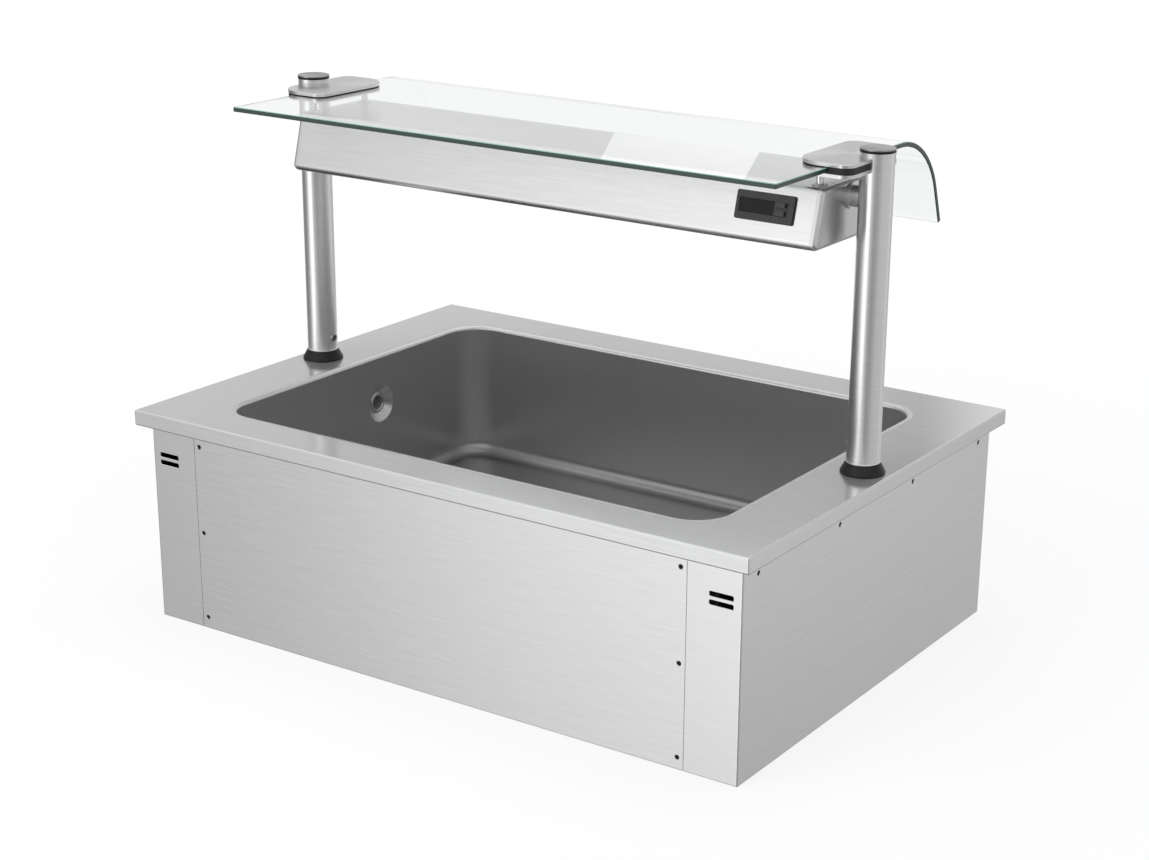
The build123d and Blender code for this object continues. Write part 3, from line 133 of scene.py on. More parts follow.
class ControllerLook(bpy.types.PropertyGroup):
    """Controller and its keys."""

    case: colour_prop("Case", "Colour of the bezel's face", (0.050, 0.050, 0.051))
    # Painted shade: the bezel's and keys' sides are near black.
    rim: colour_prop("Rim", "Colour of the bezel's sides", (0.006, 0.006, 0.006))
    window: colour_prop("Window", "Colour of the display window", (0.006, 0.006, 0.0065))
    keys: colour_prop("Keys", "Colour of the keys", (0.062, 0.062, 0.064))
    # Dark bar on the right end of each key.
    dark_bar: colour_prop("Ink", "Colour of the mark on each key", (0.003, 0.003, 0.003))
    mark_width: length_prop("Mark width", "Width of the dark mark on each key", 0.0027)
    mark_height: length_prop("Mark height", "Height of the dark mark on each key", 0.0052)


class StageLook(bpy.types.PropertyGroup):
    """Camera and studio."""

    lens: FloatProperty(name="Lens", description="Focal length in millimetres", default=70.31, min=1)
    place: FloatVectorProperty(
        name="Camera place", description="Where the camera stands", default=(1.5546, -2.2442, 1.1345),
        subtype="TRANSLATION", unit="LENGTH",
    )
    turn: FloatVectorProperty(
        name="Camera turn", description="How the camera is turned",
        default=(math.radians(70.6213), math.radians(-0.8776), math.radians(32.8533)), subtype="EULER",
    )
    shift: FloatVectorProperty(
        name="Shift", description="Lens shift of the framing", default=(-0.0697, 0.0509), size=2
    )
    floor_size: length_prop("Floor", "Width of the floor", 40.0)
    key_power: power_prop("Key light", "Power of the large front light", 55.0)
    top_power: power_prop("Top light", "Power of the overhead light", 38.0)


class Wire:
    """Shader socket that Python's operators join with Math nodes."""

    def __init__(self, paint, socket):
        self.paint = paint
        self.socket = socket

    def maths(self, operation, first, second=0.0):
        """Adds a Math node on two values."""
        return self.paint.node("ShaderNodeMath", {"operation": operation}, {0: first, 1: second})

    def __add__(self, other):
        return self.maths("ADD", self, other)

    def __sub__(self, other):
        return self.maths("SUBTRACT", self, other)

    def __rsub__(self, other):
        return self.maths("SUBTRACT", other, self)

    def __mul__(self, other):
        return self.maths("MULTIPLY", self, other)

    def __truediv__(self, other):
        return self.maths("DIVIDE", self, other)

    def __gt__(self, other):
        return self.maths("GREATER_THAN", self, other)

    def __lt__(self, other):
        return self.maths("LESS_THAN", self, other)

    def __abs__(self):
        return self.maths("ABSOLUTE", self)

    def most(self, other):
        """The larger of two values."""
        return self.maths("MAXIMUM", self, other)

    __radd__ = __add__
    __rmul__ = __mul__


class Paint:
    """Builds the nodes of one material or of the world."""

    def __init__(self, owner):
        owner.use_nodes = True
        self.owner = owner
        self.tree = owner.node_tree
        self.tree.nodes.clear()

    def node(self, kind, settings=None, inputs=None, output=0):
        """Adds a node, sets it up, joins its inputs and gives one of its outputs."""
        made = self.tree.nodes.new(kind)
        for key, value in (settings or {}).items():
            if key == "stops":
                self.set_ramp(made.color_ramp, value)
            else:
                setattr(made, key, value)
        for key, value in (inputs or {}).items():
            if isinstance(value, Wire):
                self.tree.links.new(value.socket, made.inputs[key])
            else:
                made.inputs[key].default_value = value
        return Wire(self, made.outputs[output]) if made.outputs else made

    def set_ramp(self, ramp, stops):
        """Gives a ramp its stops, each a place and a grey level."""
        while len(ramp.elements) < len(stops):
            ramp.elements.new(1.0)
        for element, (place, level) in zip(ramp.elements, stops):
            element.position = place
            element.color = (level, level, level, 1)

    def place(self):
        """Position on the object in metres."""
        return self.node("ShaderNodeTexCoord", output="Object")

    def axes(self, vector):
        """The three parts of a vector."""
        split = self.node("ShaderNodeSeparateXYZ", inputs={0: vector}).socket.node
        return [Wire(self, socket) for socket in split.outputs]

    def normal(self):
        """Direction that the surface faces."""
        return self.node("ShaderNodeNewGeometry", output="Normal")

    def noise(self, stretch, detail, rough=0.55):
        """Noise with a number of features per metre along each axis."""
        spread = self.node("ShaderNodeMapping", inputs={"Vector": self.place(), "Scale": stretch})
        inputs = {"Vector": spread, "Scale": 1.0, "Detail": detail, "Roughness": rough}
        return self.node("ShaderNodeTexNoise", inputs=inputs)

    def ramp(self, value, stops):
        """Value passed through a ramp of grey levels."""
        return self.node("ShaderNodeValToRGB", {"stops": stops}, {"Fac": value})

    def mix(self, share, first, second):
        """Colour between two colours."""
        inputs = {0: share, 6: rgba(first), 7: rgba(second)}
        return self.node("ShaderNodeMix", {"data_type": "RGBA"}, inputs, 2)

    def shaded(self, colour, shade):
        """Colour made darker where the shade is below one."""
        settings = {"data_type": "RGBA", "blend_type": "MULTIPLY"}
        return self.node("ShaderNodeMix", settings, {0: 1.0, 6: colour, 7: shade}, 2)

    def bump(self, height, strength, distance):
        """Surface direction tilted by a height."""
        inputs = {"Height": height, "Strength": strength, "Distance": distance}
        return self.node("ShaderNodeBump", inputs=inputs)

    def surface(self, **sockets):
        """Principled surface, with spaces in socket names written as underscores."""
        inputs = {name.replace("_", " "): rgba(value) for name, value in sockets.items()}
        return self.node("ShaderNodeBsdfPrincipled", inputs=inputs)

    def either(self, share, first, second):
        """First surface where the share is nothing and second surface where it is one."""
        return self.node("ShaderNodeMixShader", inputs={0: share, 1: first, 2: second})

    def seen(self, *kinds):
        """One for rays of the named kinds."""
        rays = [self.node("ShaderNodeLightPath", output=f"Is {kind} Ray") for kind in kinds]
        return reduce(Wire.most, rays)

    def done(self, surface):
        """Joins the surface to the output and gives the material."""
        self.node("ShaderNodeOutputMaterial", inputs={"Surface": surface})
        return self.owner


def rgba(value):
    """A colour of three channels with its fourth, and anything else as it is."""
    if isinstance(value, (Wire, int, float)):
        return value
    channels = tuple(value)
    return channels + (1.0,) if len(channels) == 3 else channels


def scaled(colour, factor):
    """A colour made lighter or darker."""
    return tuple(min(1.0, channel * factor) for channel in colour)


def tones(colour, factors):
    """A colour at several factors."""
    return [scaled(colour, factor) for factor in factors]


def even(count):
    """The same number of features per metre along every axis."""
    return (count, count, count)


def new_paint(name):
    """Empty material with a builder for its nodes."""
    return Paint(bpy.data.materials.new(name))


MEAN = 0.5
FINE = 620.0
LONG = 17.0
MIDDLE = 0.50
GRAIN_ALONG = {
    "X": (LONG, FINE, FINE),
    "Y": (FINE, LONG, FINE),
    "Z": (FINE, FINE, LONG),
    "round": (LONG, LONG, FINE),
}
FINE_DETAIL = 4.0
FINE_ROUGH = 0.6
MIDDLE_DETAIL = 2.0
FINE_SHARE = 0.5
LEVEL_GRAIN = 0.25
UPRIGHT_GRAIN = 0.0
LINE_EDGES = ((0.3, 0.0), (0.7, 1.0))
LINE_DARKER = 0.16
LINE_LIGHTER = 0.12
LINE_GLOSS = 0.20
LINE_RELIEF = 0.10
LINE_DEPTH = 0.0003
WAY_TURNS = ((0.55, 0.0), (0.85, 1.0))
# Painted shade in the well: the floor and bend below half height are darkened, and the walls darken towards
# the bottom.
WELL_MIDDLE = 0.5
WELL_BEND_SHADE = ((0.06, 1.0), (0.32, 0.55), (0.75, 0.55), (0.97, 0.47))
WELL_DEPTH_SHADE = ((0.15, 0.86), (0.85, 1.0))


class Grind(NamedTuple):
    """How steel is ground: its gloss, how far its lines show, which way it streaks and how bare it is."""

    roughness: float
    grain: float
    streak: float = 0.55
    turn: float = LEVEL_GRAIN
    bare: float = 1.0


def grain_of(along, width):
    """Features per metre of grinding lines along one axis, a share as many across as the finest have."""
    return tuple(part * width if part == FINE else part for part in GRAIN_ALONG[along])


def ground_lines(paint, along):
    """Finest grinding lines along one axis, and a blend of fine and middling ones."""
    fine = paint.noise(grain_of(along, 1.0), FINE_DETAIL, FINE_ROUGH)
    middle = paint.noise(grain_of(along, MIDDLE), MIDDLE_DETAIL)
    return fine, fine * FINE_SHARE + middle * (1 - FINE_SHARE)


def facing(paint, axis):
    """One where the surface looks along an axis, either way, and nothing where it looks across it."""
    return abs(paint.axes(paint.normal())["XYZ".index(axis)])


def two_way_lines(paint, share, there, elsewhere):
    """Grinding lines along one axis where the share is one, and along another where it is nothing."""
    pairs = zip(ground_lines(paint, elsewhere), ground_lines(paint, there))
    return [first + (second - first) * share for first, second in pairs]


def steel_surface(paint, fine, lines, colour, grind, shade=1.0):
    """Metal whose colour, gloss and relief follow its lines, darker where the shade is below one."""
    grain = grind.grain
    tone = paint.ramp(lines, LINE_EDGES)
    colours = paint.mix(tone, *tones(colour, (1 - LINE_DARKER * grain, 1 + LINE_LIGHTER * grain)))
    if isinstance(shade, Wire):
        colours = paint.shaded(colours, shade)
    gloss = (lines - MEAN) * (LINE_GLOSS * grain) + grind.roughness
    relief = paint.bump(fine, LINE_RELIEF * grain, LINE_DEPTH)
    return paint.done(
        paint.surface(
            Base_Color=colours, Metallic=grind.bare, Roughness=gloss, Normal=relief,
            Anisotropic=grind.streak, Anisotropic_Rotation=grind.turn,
        )
    )


def brushed_steel(name, colour, along, grind):
    """Stainless steel ground along one axis."""
    paint = new_paint(name)
    fine, lines = ground_lines(paint, along)
    return steel_surface(paint, fine, lines, colour, grind)


def two_way_steel(name, colour, axis, there, elsewhere, grind, level=1.0):
    """Stainless steel ground one way on the faces along an axis, with painted shade there where the level
    is below one, and another way elsewhere.
    """
    paint = new_paint(name)
    share = paint.ramp(facing(paint, axis), WAY_TURNS)
    fine, lines = two_way_lines(paint, share, there, elsewhere)
    # Painted shade on the faces along the axis, where the level is below one.
    return steel_surface(paint, fine, lines, colour, grind, 1 - share * (1 - level))


def well_steel(name, colour, grind):
    """Stainless steel of the pressed well, ground upright on its walls, with painted shade on its floor and
    bend and darker towards the bottom.
    """
    paint = new_paint(name)
    level = facing(paint, "Z")
    fine, lines = two_way_lines(paint, paint.ramp(level, WAY_TURNS), "X", "Z")
    low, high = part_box("well_tub")
    height = (paint.axes(paint.place())[2] - low.z) / (high.z - low.z)
    # Painted shade on the floor and bend below half height, and darker towards the bottom.
    bend = 1 - (height < WELL_MIDDLE) * (1 - paint.ramp(level, WELL_BEND_SHADE))
    return steel_surface(paint, fine, lines, colour, grind, bend * paint.ramp(height, WELL_DEPTH_SHADE))


BLOTCHES = even(90.0)
BLOTCH_DETAIL = 4.0
BLOTCH_TONES = (0.82, 1.12)
BLOTCH_GLOSS = 0.25
BLOTCH_RELIEF = (0.06, 0.0004)


def dull_metal(name, colour, roughness):
    """Zinc, copper, brass or plain steel with blotches."""
    paint = new_paint(name)
    blotch = paint.noise(BLOTCHES, BLOTCH_DETAIL)
    colours = paint.mix(blotch, *tones(colour, BLOTCH_TONES))
    gloss = (blotch - MEAN) * BLOTCH_GLOSS + roughness
    relief = paint.bump(blotch, *BLOTCH_RELIEF)
    return paint.done(paint.surface(Base_Color=colours, Metallic=1.0, Roughness=gloss, Normal=relief))


SMOOTH_DETAIL = 2.0
PORES = even(1800.0)
PORE_GLOSS = 0.16
PORE_RELIEF = (0.05, 0.0002)
CLOUDS = even(35.0)
CLOUD_TONES = (0.85, 1.18)
CLOUD_GLOSS = 0.10


def moulded(name, colour, roughness, shine=0.5):
    """Plastic or rubber with a fine moulded texture."""
    paint = new_paint(name)
    pores = paint.noise(PORES, SMOOTH_DETAIL)
    cloud = paint.noise(CLOUDS, SMOOTH_DETAIL)
    colours = paint.mix(cloud, *tones(colour, CLOUD_TONES))
    gloss = (pores - MEAN) * PORE_GLOSS + (cloud - MEAN) * CLOUD_GLOSS + roughness
    relief = paint.bump(pores, *PORE_RELIEF)
    return paint.done(
        paint.surface(Base_Color=colours, Roughness=gloss, Normal=relief, Specular_IOR_Level=shine)
    )


FOAM_CELLS = 500.0
FOAM_TONES = (1.05, 0.75)
FOAM_RELIEF = (0.4, 0.0006)
FOAM_ROUGHNESS = 0.92


def foam_finish(name, colour):
    """Cut black foam with small cells."""
    paint = new_paint(name)
    cells = paint.node("ShaderNodeTexVoronoi", inputs={"Vector": paint.place(), "Scale": FOAM_CELLS})
    colours = paint.mix(cells, *tones(colour, FOAM_TONES))
    relief = paint.bump(cells, *FOAM_RELIEF)
    return paint.done(paint.surface(Base_Color=colours, Roughness=FOAM_ROUGHNESS, Normal=relief))


BEZEL_GRIT = even(2200.0)
BEZEL_GLOSS = 0.2
BEZEL_ROUGHNESS = 0.42
BEZEL_RELIEF = (0.06, 0.0001)
BEZEL_SHINE = 0.22
FACE_TURNS = ((0.90, 0.0), (0.985, 1.0))


def controller_frame():
    """Frame on the controller's window: X along the housing, Y up the slope, Z out of the face."""
    press = next(joint for joint in frame["joints"] if joint["name"] == "key_up_press")["axis"]
    out = -Vector(press).normalized()
    along = Vector((1, 0, 0))
    up = out.cross(along)
    low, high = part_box("controller_window")
    turned = Matrix((along, up, out)).transposed().to_4x4()
    return Matrix.Translation((low + high) / 2) @ turned


def controller_plastic(name, face, edge):
    """Bezel or key with a grey face and painted shade on its sides, which are near black, told apart by
    where they face.
    """
    paint = new_paint(name)
    out = controller_frame().col[2].to_3d()
    towards = paint.node(
        "ShaderNodeVectorMath", {"operation": "DOT_PRODUCT"}, {0: paint.normal(), 1: tuple(out)}, "Value"
    )
    grit = paint.noise(BEZEL_GRIT, SMOOTH_DETAIL)
    # Painted shade: the sides are darker than the face, told apart by where they face.
    colours = paint.mix(paint.ramp(towards, FACE_TURNS), edge, face)
    gloss = (grit - MEAN) * BEZEL_GLOSS + BEZEL_ROUGHNESS
    relief = paint.bump(grit, *BEZEL_RELIEF)
    return paint.done(
        paint.surface(Base_Color=colours, Roughness=gloss, Normal=relief, Specular_IOR_Level=BEZEL_SHINE)
    )


HAZE = even(60.0)
HAZE_TONES = (0.8, 1.4)
HAZE_GLOSS = 0.06
WINDOW_ROUGHNESS = 0.16
WINDOW_SHINE = 0.18


def window_finish(name, colour):
    """Glossy dark window with a faint haze."""
    paint = new_paint(name)
    haze = paint.noise(HAZE, SMOOTH_DETAIL)
    colours = paint.mix(haze, *tones(colour, HAZE_TONES))
    gloss = (haze - MEAN) * HAZE_GLOSS + WINDOW_ROUGHNESS
    return paint.done(paint.surface(Base_Color=colours, Roughness=gloss, Specular_IOR_Level=WINDOW_SHINE))


MOST_BOUNCES = 5
FACES_OF_A_SHEET = 2
GLASS_IOR = 1.5
GLASS_WAVES = even(4.0)
WAVE_DETAIL = 1.0
WAVE_RELIEF = (0.02, 0.0005)
EDGE_GRIT = even(900.0)
EDGE_GLOSS = 0.2
EDGE_ROUGHNESS = 0.2
ARRIS_HIGHLIGHT_TURNS = ((0.3, 0.0), (0.6, 1.0))
TAIL_WIDTHS = 3
TAIL_FACES = -0.6


def ground_edge(paint, look, up):
    """Ground glass with a painted highlight on the bevels that look up."""
    grit = paint.noise(EDGE_GRIT, SMOOTH_DETAIL)
    # Painted highlight: the bevels that look up are lighter.
    colours = paint.mix(paint.ramp(up, ARRIS_HIGHLIGHT_TURNS), look.edge, look.arris_highlight)
    return paint.surface(Base_Color=colours, Roughness=grit * EDGE_GLOSS + EDGE_ROUGHNESS)


def clear_sheet(paint, look):
    """Clear glass with a faint wave, which shows no second sheet behind the first."""
    wave = paint.bump(paint.noise(GLASS_WAVES, WAVE_DETAIL), *WAVE_RELIEF)
    clear = paint.surface(
        Base_Color=look.tint, Roughness=0.0, Transmission_Weight=1.0, IOR=GLASS_IOR, Normal=wave
    )
    second = paint.node("ShaderNodeLightPath", output="Transmission Depth") > FACES_OF_A_SHEET - 0.5
    unseen = paint.node("ShaderNodeBsdfTransparent", inputs={"Color": WHITE})
    return paint.either(second, clear, unseen)


def canopy_glass(name, look):
    """Clear glass whose ground edges look dark green from outside."""
    paint = new_paint(name)
    low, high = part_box("glass_canopy")
    x, y, z = paint.axes(paint.place())
    margin = look.edge_width
    up = paint.axes(paint.normal())[2]
    tail_end = (z < low.z + margin * TAIL_WIDTHS) * (up < TAIL_FACES)
    rim = (abs(x) > high.x - margin).most(y < low.y + margin).most(tail_end)
    inside = paint.node("ShaderNodeNewGeometry", output="Backfacing")
    sheet = paint.either(rim * (1 - inside), clear_sheet(paint, look), ground_edge(paint, look, up))
    through = paint.node("ShaderNodeBsdfTransparent", inputs={"Color": rgba(look.tint)})
    trapped = paint.node("ShaderNodeLightPath", output="Ray Depth") > MOST_BOUNCES
    return paint.done(paint.either(paint.seen("Shadow").most(trapped), sheet, through))


RIBS = 90.0
RIB_RELIEF = (0.15, 0.0004)
RIB_GLOSS = 0.08
DIFFUSER_ROUGHNESS = 0.32


def diffuser_finish(name, colour):
    """Milky ribbed sheet under the lamps."""
    paint = new_paint(name)
    inputs = {"Vector": paint.place(), "Scale": RIBS}
    ribs = paint.node("ShaderNodeTexWave", {"bands_direction": "Y"}, inputs)
    relief = paint.bump(ribs, *RIB_RELIEF)
    gloss = ribs * RIB_GLOSS + DIFFUSER_ROUGHNESS
    return paint.done(paint.surface(Base_Color=colour, Roughness=gloss, Normal=relief))


def dress(material, *names):
    """Gives the named solids one finish."""
    for name in names:
        NODES[name].data.materials[0] = material


def sides(name):
    """A node's names on both sides."""
    return (f"{name}_left", f"{name}_right")


def new_piece(name, shape, material, body):
    """Makes an object from a bmesh, and sets its finish and the body that it moves with."""
    bmesh.ops.recalc_face_normals(shape, faces=shape.faces)
    mesh = bpy.data.meshes.new(name)
    shape.to_mesh(mesh)
    shape.free()
    piece = bpy.data.objects.new(name, mesh)
    bpy.context.collection.objects.link(piece)
    mesh.materials.append(material)
    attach(piece, body)


class DISPLAY_OT_worktop(bpy.types.Operator):
    """Finish the worktop"""

    bl_idname = "display.worktop"
    bl_label = "Worktop"

    def execute(self, context):
        look = context.scene.display_steel
        grind = Grind(roughness=0.16, grain=look.grain, streak=0.0, bare=0.75)
        dress(brushed_steel("worktop_steel", look.worktop, "X", grind), "worktop")
        return {"FINISHED"}


class DISPLAY_OT_well(bpy.types.Operator):
    """Finish the well and its waste"""

    bl_idname = "display.well"
    bl_label = "Well"

    def execute(self, context):
        look = context.scene.display_steel
        grind = Grind(roughness=0.35, grain=look.grain * 0.4, streak=0.60, turn=UPRIGHT_GRAIN, bare=0.95)
        dress(well_steel("well_steel", look.well, grind), "well_tub")
        dress(dull_metal("waste_steel", look.posts, roughness=0.25), "drain_waste")
        return {"FINISHED"}


class DISPLAY_OT_casing(bpy.types.Operator):
    """Finish the casing's panels and the frame behind them"""

    bl_idname = "display.casing"
    bl_label = "Casing"

    def execute(self, context):
        look = context.scene.display_steel
        trim = context.scene.display_trim
        lengthwise = Grind(roughness=0.25, grain=look.grain)
        dress(brushed_steel("panel_steel", look.panels, "X", lengthwise), "front_panel", "back_panel")
        crosswise = Grind(roughness=0.25, grain=look.grain * 0.7)
        dress(two_way_steel("side_steel", look.panels, "Y", "X", "Y", crosswise), *sides("side_panel"))
        hidden = ("bottom_panel", "skirt_frame", "post_feet", "post_backing_plates")
        dress(dull_metal("zinc_coat", look.frame, roughness=0.42), *hidden)
        # Painted light: the brackets are pale so the seams in front of them look lighter.
        dress(moulded("bracket_painted_light", trim.brackets, roughness=0.6), "corner_brackets")
        return {"FINISHED"}


class DISPLAY_OT_fasteners(bpy.types.Operator):
    """Finish the screws, nuts and pins"""

    bl_idname = "display.fasteners"
    bl_label = "Fasteners"

    def execute(self, context):
        trim = context.scene.display_trim
        black = moulded("black_screws", trim.panel_screws, roughness=0.55, shine=0.2)
        dress(black, "front_panel_screws", "side_panel_screws")
        plain = dull_metal("plain_steel", trim.plain_steel, roughness=0.3)
        dress(plain, "back_panel_screws", "post_foot_nuts", "standoff_washers", "temperature_probe")
        bright = dull_metal("bright_steel", trim.bright_steel, roughness=0.16)
        dress(bright, "standoff_pins", "drain_valve_ball")
        dress(dull_metal("socket_steel", trim.foot_screws, roughness=0.22), "post_foot_screws")
        return {"FINISHED"}


class DISPLAY_OT_posts(bpy.types.Operator):
    """Finish the posts, collars and caps"""

    bl_idname = "display.posts"
    bl_label = "Posts"

    def execute(self, context):
        look = context.scene.display_steel
        trim = context.scene.display_trim
        tube = Grind(roughness=0.30, grain=look.grain, streak=0.8)
        dress(brushed_steel("post_steel", look.posts, "round", tube), *sides("post"))
        boss = Grind(roughness=0.34, grain=look.grain * 0.4, bare=0.8)
        dress(brushed_steel("boss_steel", look.posts, "X", boss), "housing_bosses")
        cap = Grind(roughness=0.32, grain=look.grain * 0.5)
        dress(brushed_steel("cap_steel", look.caps, "X", cap), "post_caps")
        rubber = moulded("collar_rubber", trim.collars, roughness=0.45, shine=0.3)
        dress(rubber, *sides("post_collar"), "post_cap_rings")
        return {"FINISHED"}


class DISPLAY_OT_canopy(bpy.types.Operator):
    """Finish the glass canopy and its clamps"""

    bl_idname = "display.canopy"
    bl_label = "Glass canopy"

    def execute(self, context):
        look = context.scene.display_steel
        trim = context.scene.display_trim
        dress(canopy_glass("canopy_glass", context.scene.display_glass), "glass_canopy")
        plate = Grind(roughness=0.30, grain=look.grain * 0.6)
        plates = brushed_steel("clamp_steel", look.clamps, "X", plate)
        dress(plates, *sides("clamp_top"), *sides("clamp_bottom"))
        dress(moulded("gasket_rubber", trim.gaskets, roughness=0.55), *sides("clamp_gasket"))
        return {"FINISHED"}


# Painted shade on the housing's top and underside, as a share of its colour.
LEVEL_FACE_SHADE = 0.62
# Painted shade on the housing's ends, as a share of the housing colour.
END_SHADE = 0.88


class DISPLAY_OT_housing(bpy.types.Operator):
    """Finish the light housing"""

    bl_idname = "display.housing"
    bl_label = "Light housing"

    def execute(self, context):
        look = context.scene.display_steel
        trim = context.scene.display_trim
        shell = Grind(roughness=0.26, grain=look.grain, streak=0.3)
        steel = two_way_steel("housing_steel", look.housing, "Z", "X", "X", shell, LEVEL_FACE_SHADE)
        dress(steel, "housing_shell")
        ends = Grind(roughness=0.28, grain=look.grain * 0.3, streak=0.3, bare=0.9)
        # Painted shade: the ends are a darker copy of the housing steel.
        end_shade_colour = scaled(look.housing, END_SHADE)
        dress(brushed_steel("housing_end_steel", end_shade_colour, "Y", ends), *sides("housing_end"))
        dress(diffuser_finish("light_diffuser", trim.diffuser), "light_diffuser")
        dress(moulded("led_board", trim.lamp_board, roughness=0.5), "led_strip")
        return {"FINISHED"}


MARK_THICKNESS = 0.4 * MILLI
MARK_CORNER = 0.5 * MILLI
MARK_STEPS = 4
MARK_LIFT = 0.05 * MILLI
MARK_INSET = 0.9
UPRIGHT_EDGE = 0.1 * MILLI


class DISPLAY_OT_controller(bpy.types.Operator):
    """Finish the controller and mark its keys"""

    bl_idname = "display.controller"
    bl_label = "Controller"

    def execute(self, context):
        look = context.scene.display_controller
        # The bezel's and keys' sides get painted shade from the rim colour.
        dress(controller_plastic("controller_plastic", look.case, look.rim), "controller_body")
        dress(window_finish("controller_window", look.window), "controller_window")
        dress(controller_plastic("key_plastic", look.keys, look.rim), "key_up", "key_down")
        # Near-black finish for the dark bar on each key.
        dark_bar = moulded("key_dark_bar", look.dark_bar, roughness=0.6, shine=0.1)
        for name in ("key_up", "key_down"):
            self.add_mark(name, look, dark_bar)
        return {"FINISHED"}

    def add_mark(self, key, look, dark_bar):
        """Low dark bar on the right end of one key."""
        face = controller_frame()
        into_face = face.inverted() @ NODES[key].matrix_world
        corners = [into_face @ vertex.co for vertex in NODES[key].data.vertices]
        right = max(corner.x for corner in corners)
        top = max(corner.z for corner in corners)
        middle = (max(corner.y for corner in corners) + min(corner.y for corner in corners)) / 2
        shape = bmesh.new()
        bmesh.ops.create_cube(shape, size=1.0)
        size = (look.mark_width, look.mark_height, MARK_THICKNESS)
        bmesh.ops.scale(shape, vec=size, verts=shape.verts)
        rises = {edge: abs((edge.verts[0].co - edge.verts[1].co).z) for edge in shape.edges}
        upright = [edge for edge, rise in rises.items() if rise > UPRIGHT_EDGE]
        bmesh.ops.bevel(
            shape, geom=upright, offset=MARK_CORNER, affect="EDGES", segments=MARK_STEPS, profile=0.5,
            material=-1,
        )
        place = Matrix.Translation((right - look.mark_width * MARK_INSET, middle, top + MARK_LIFT))
        bmesh.ops.transform(shape, matrix=face @ place, verts=shape.verts)
        new_piece(f"{key}_mark", shape, dark_bar, key)


class DISPLAY_OT_services(bpy.types.Operator):
    """Finish the insulation, the refrigerant pipes, the drain and the wiring"""

    bl_idname = "display.services"
    bl_label = "Services"

    def execute(self, context):
        trim = context.scene.display_trim
        dress(foam_finish("foam", trim.foam), "insulation_jacket")
        copper = dull_metal("copper", trim.copper, roughness=0.30)
        dress(copper, "evaporator_coil", "liquid_line", "suction_line")
        brass = dull_metal("brass", trim.brass, roughness=0.32)
        dress(brass, "expansion_valve", "drain_valve_body")
        plastic = moulded("pipe_plastic", trim.pipes, roughness=0.42)
        dress(plastic, "overflow_pipe", "drain_pipe", "drain_outlet")
        dress(moulded("lever_coat", trim.lever, roughness=0.38), "drain_valve_lever")
        dress(moulded("box_plastic", trim.box, roughness=0.5), "junction_box", "junction_box_lid")
        dress(moulded("cable_sheath", trim.cable, roughness=0.5), "control_cable", "cable_gland")
        return {"FINISHED"}


LOW_WALLS = (
    (-180, 0.50), (-165, 0.48), (-150, 0.62), (-130, 1.00), (-112, 0.45), (-96, 0.24), (-74, 0.27),
    (-58, 0.40), (-49, 0.56), (-43.5, 0.68), (-40.5, 0.79), (-38, 1.06), (-36.5, 1.22), (-31, 1.24),
    (-28, 1.34), (-24, 1.75), (-18, 2.00), (-9, 1.75), (1, 0.66), (26, 0.34), (46, 0.42), (70, 0.62),
    (112, 0.66), (130, 0.62), (148, 0.84), (151.3, 0.77), (153.4, 0.68), (155.5, 0.56), (168, 0.58),
    (180, 0.50),
)
HIGH_WALLS = (
    (-180, 1.00), (-156, 1.00), (-153.5, 0.97), (-151.5, 0.875), (-146, 0.865), (-142, 0.87),
    (-130, 0.86), (-115, 0.55), (-96, 0.32), (-74, 0.36), (-58, 0.50), (-46, 0.72), (-42, 0.86),
    (-37, 1.09), (-31.5, 1.33), (-28, 1.50), (-20, 1.60), (-4, 1.25), (8, 0.66), (26, 0.46), (46, 0.54),
    (70, 0.80), (120, 0.84), (150, 0.90), (180, 1.00),
)
TOP_WALLS = (
    (-180, 1.04), (-170, 1.00), (-156.1, 0.94), (-155.6, 0.08), (-153.9, 0.12), (-153.2, 0.44),
    (-152, 0.50), (-150, 0.49), (-146, 0.39), (-142, 0.46), (-138, 0.59), (-128, 0.64), (-112, 0.60),
    (-80, 0.50), (-58, 0.55), (-46, 0.72), (-42, 0.86), (-37, 1.09), (-31.5, 1.33), (-24, 1.55),
    (-4, 1.30), (20, 1.00), (60, 0.80), (90, 0.60), (120, 0.42), (165, 0.42), (172, 0.70), (180, 1.04),
)
LOW_TO_HIGH = (-0.06, 0.06)
HIGH_TO_TOP = (0.25, 0.30)
TOP_TO_ZENITH = (0.45, 0.70)
FLOOR_FALL = ((-0.90, 0.22), (-0.70, 0.30), (-0.55, 0.55), (-0.43, 0.82), (-0.35, 1.00), (-0.29, 1.10))
BRIGHTEST = 2.2
ZENITH = 1.15
CARD_LEVEL = 1.51
CARD_FADE = -0.034
CARD_TURNS = (-150.23, -146.28)
CARD_HEIGHT = 0.1803
CARD_TALL = 1.2
CARD_LEAN = 31.0
CARD_SLOPE = -0.0019
FULL_TURN = 360
HALF_TURN = 180


def ring_of_walls(paint, turn, walls):
    """Brightness of white cards and grey gaps by compass angle."""
    stops = [((angle + HALF_TURN) / FULL_TURN, level / BRIGHTEST) for angle, level in walls]
    return paint.ramp(turn / FULL_TURN + HALF_TURN / FULL_TURN, stops) * BRIGHTEST


def blend(paint, first, second, height, limits):
    """First value below one height, second value above another and a blend between them."""
    low, high = [limit * 0.5 + 0.5 for limit in limits]
    share = paint.ramp(height * 0.5 + 0.5, ((low, 0.0), (high, 1.0)))
    return first + (second - first) * share


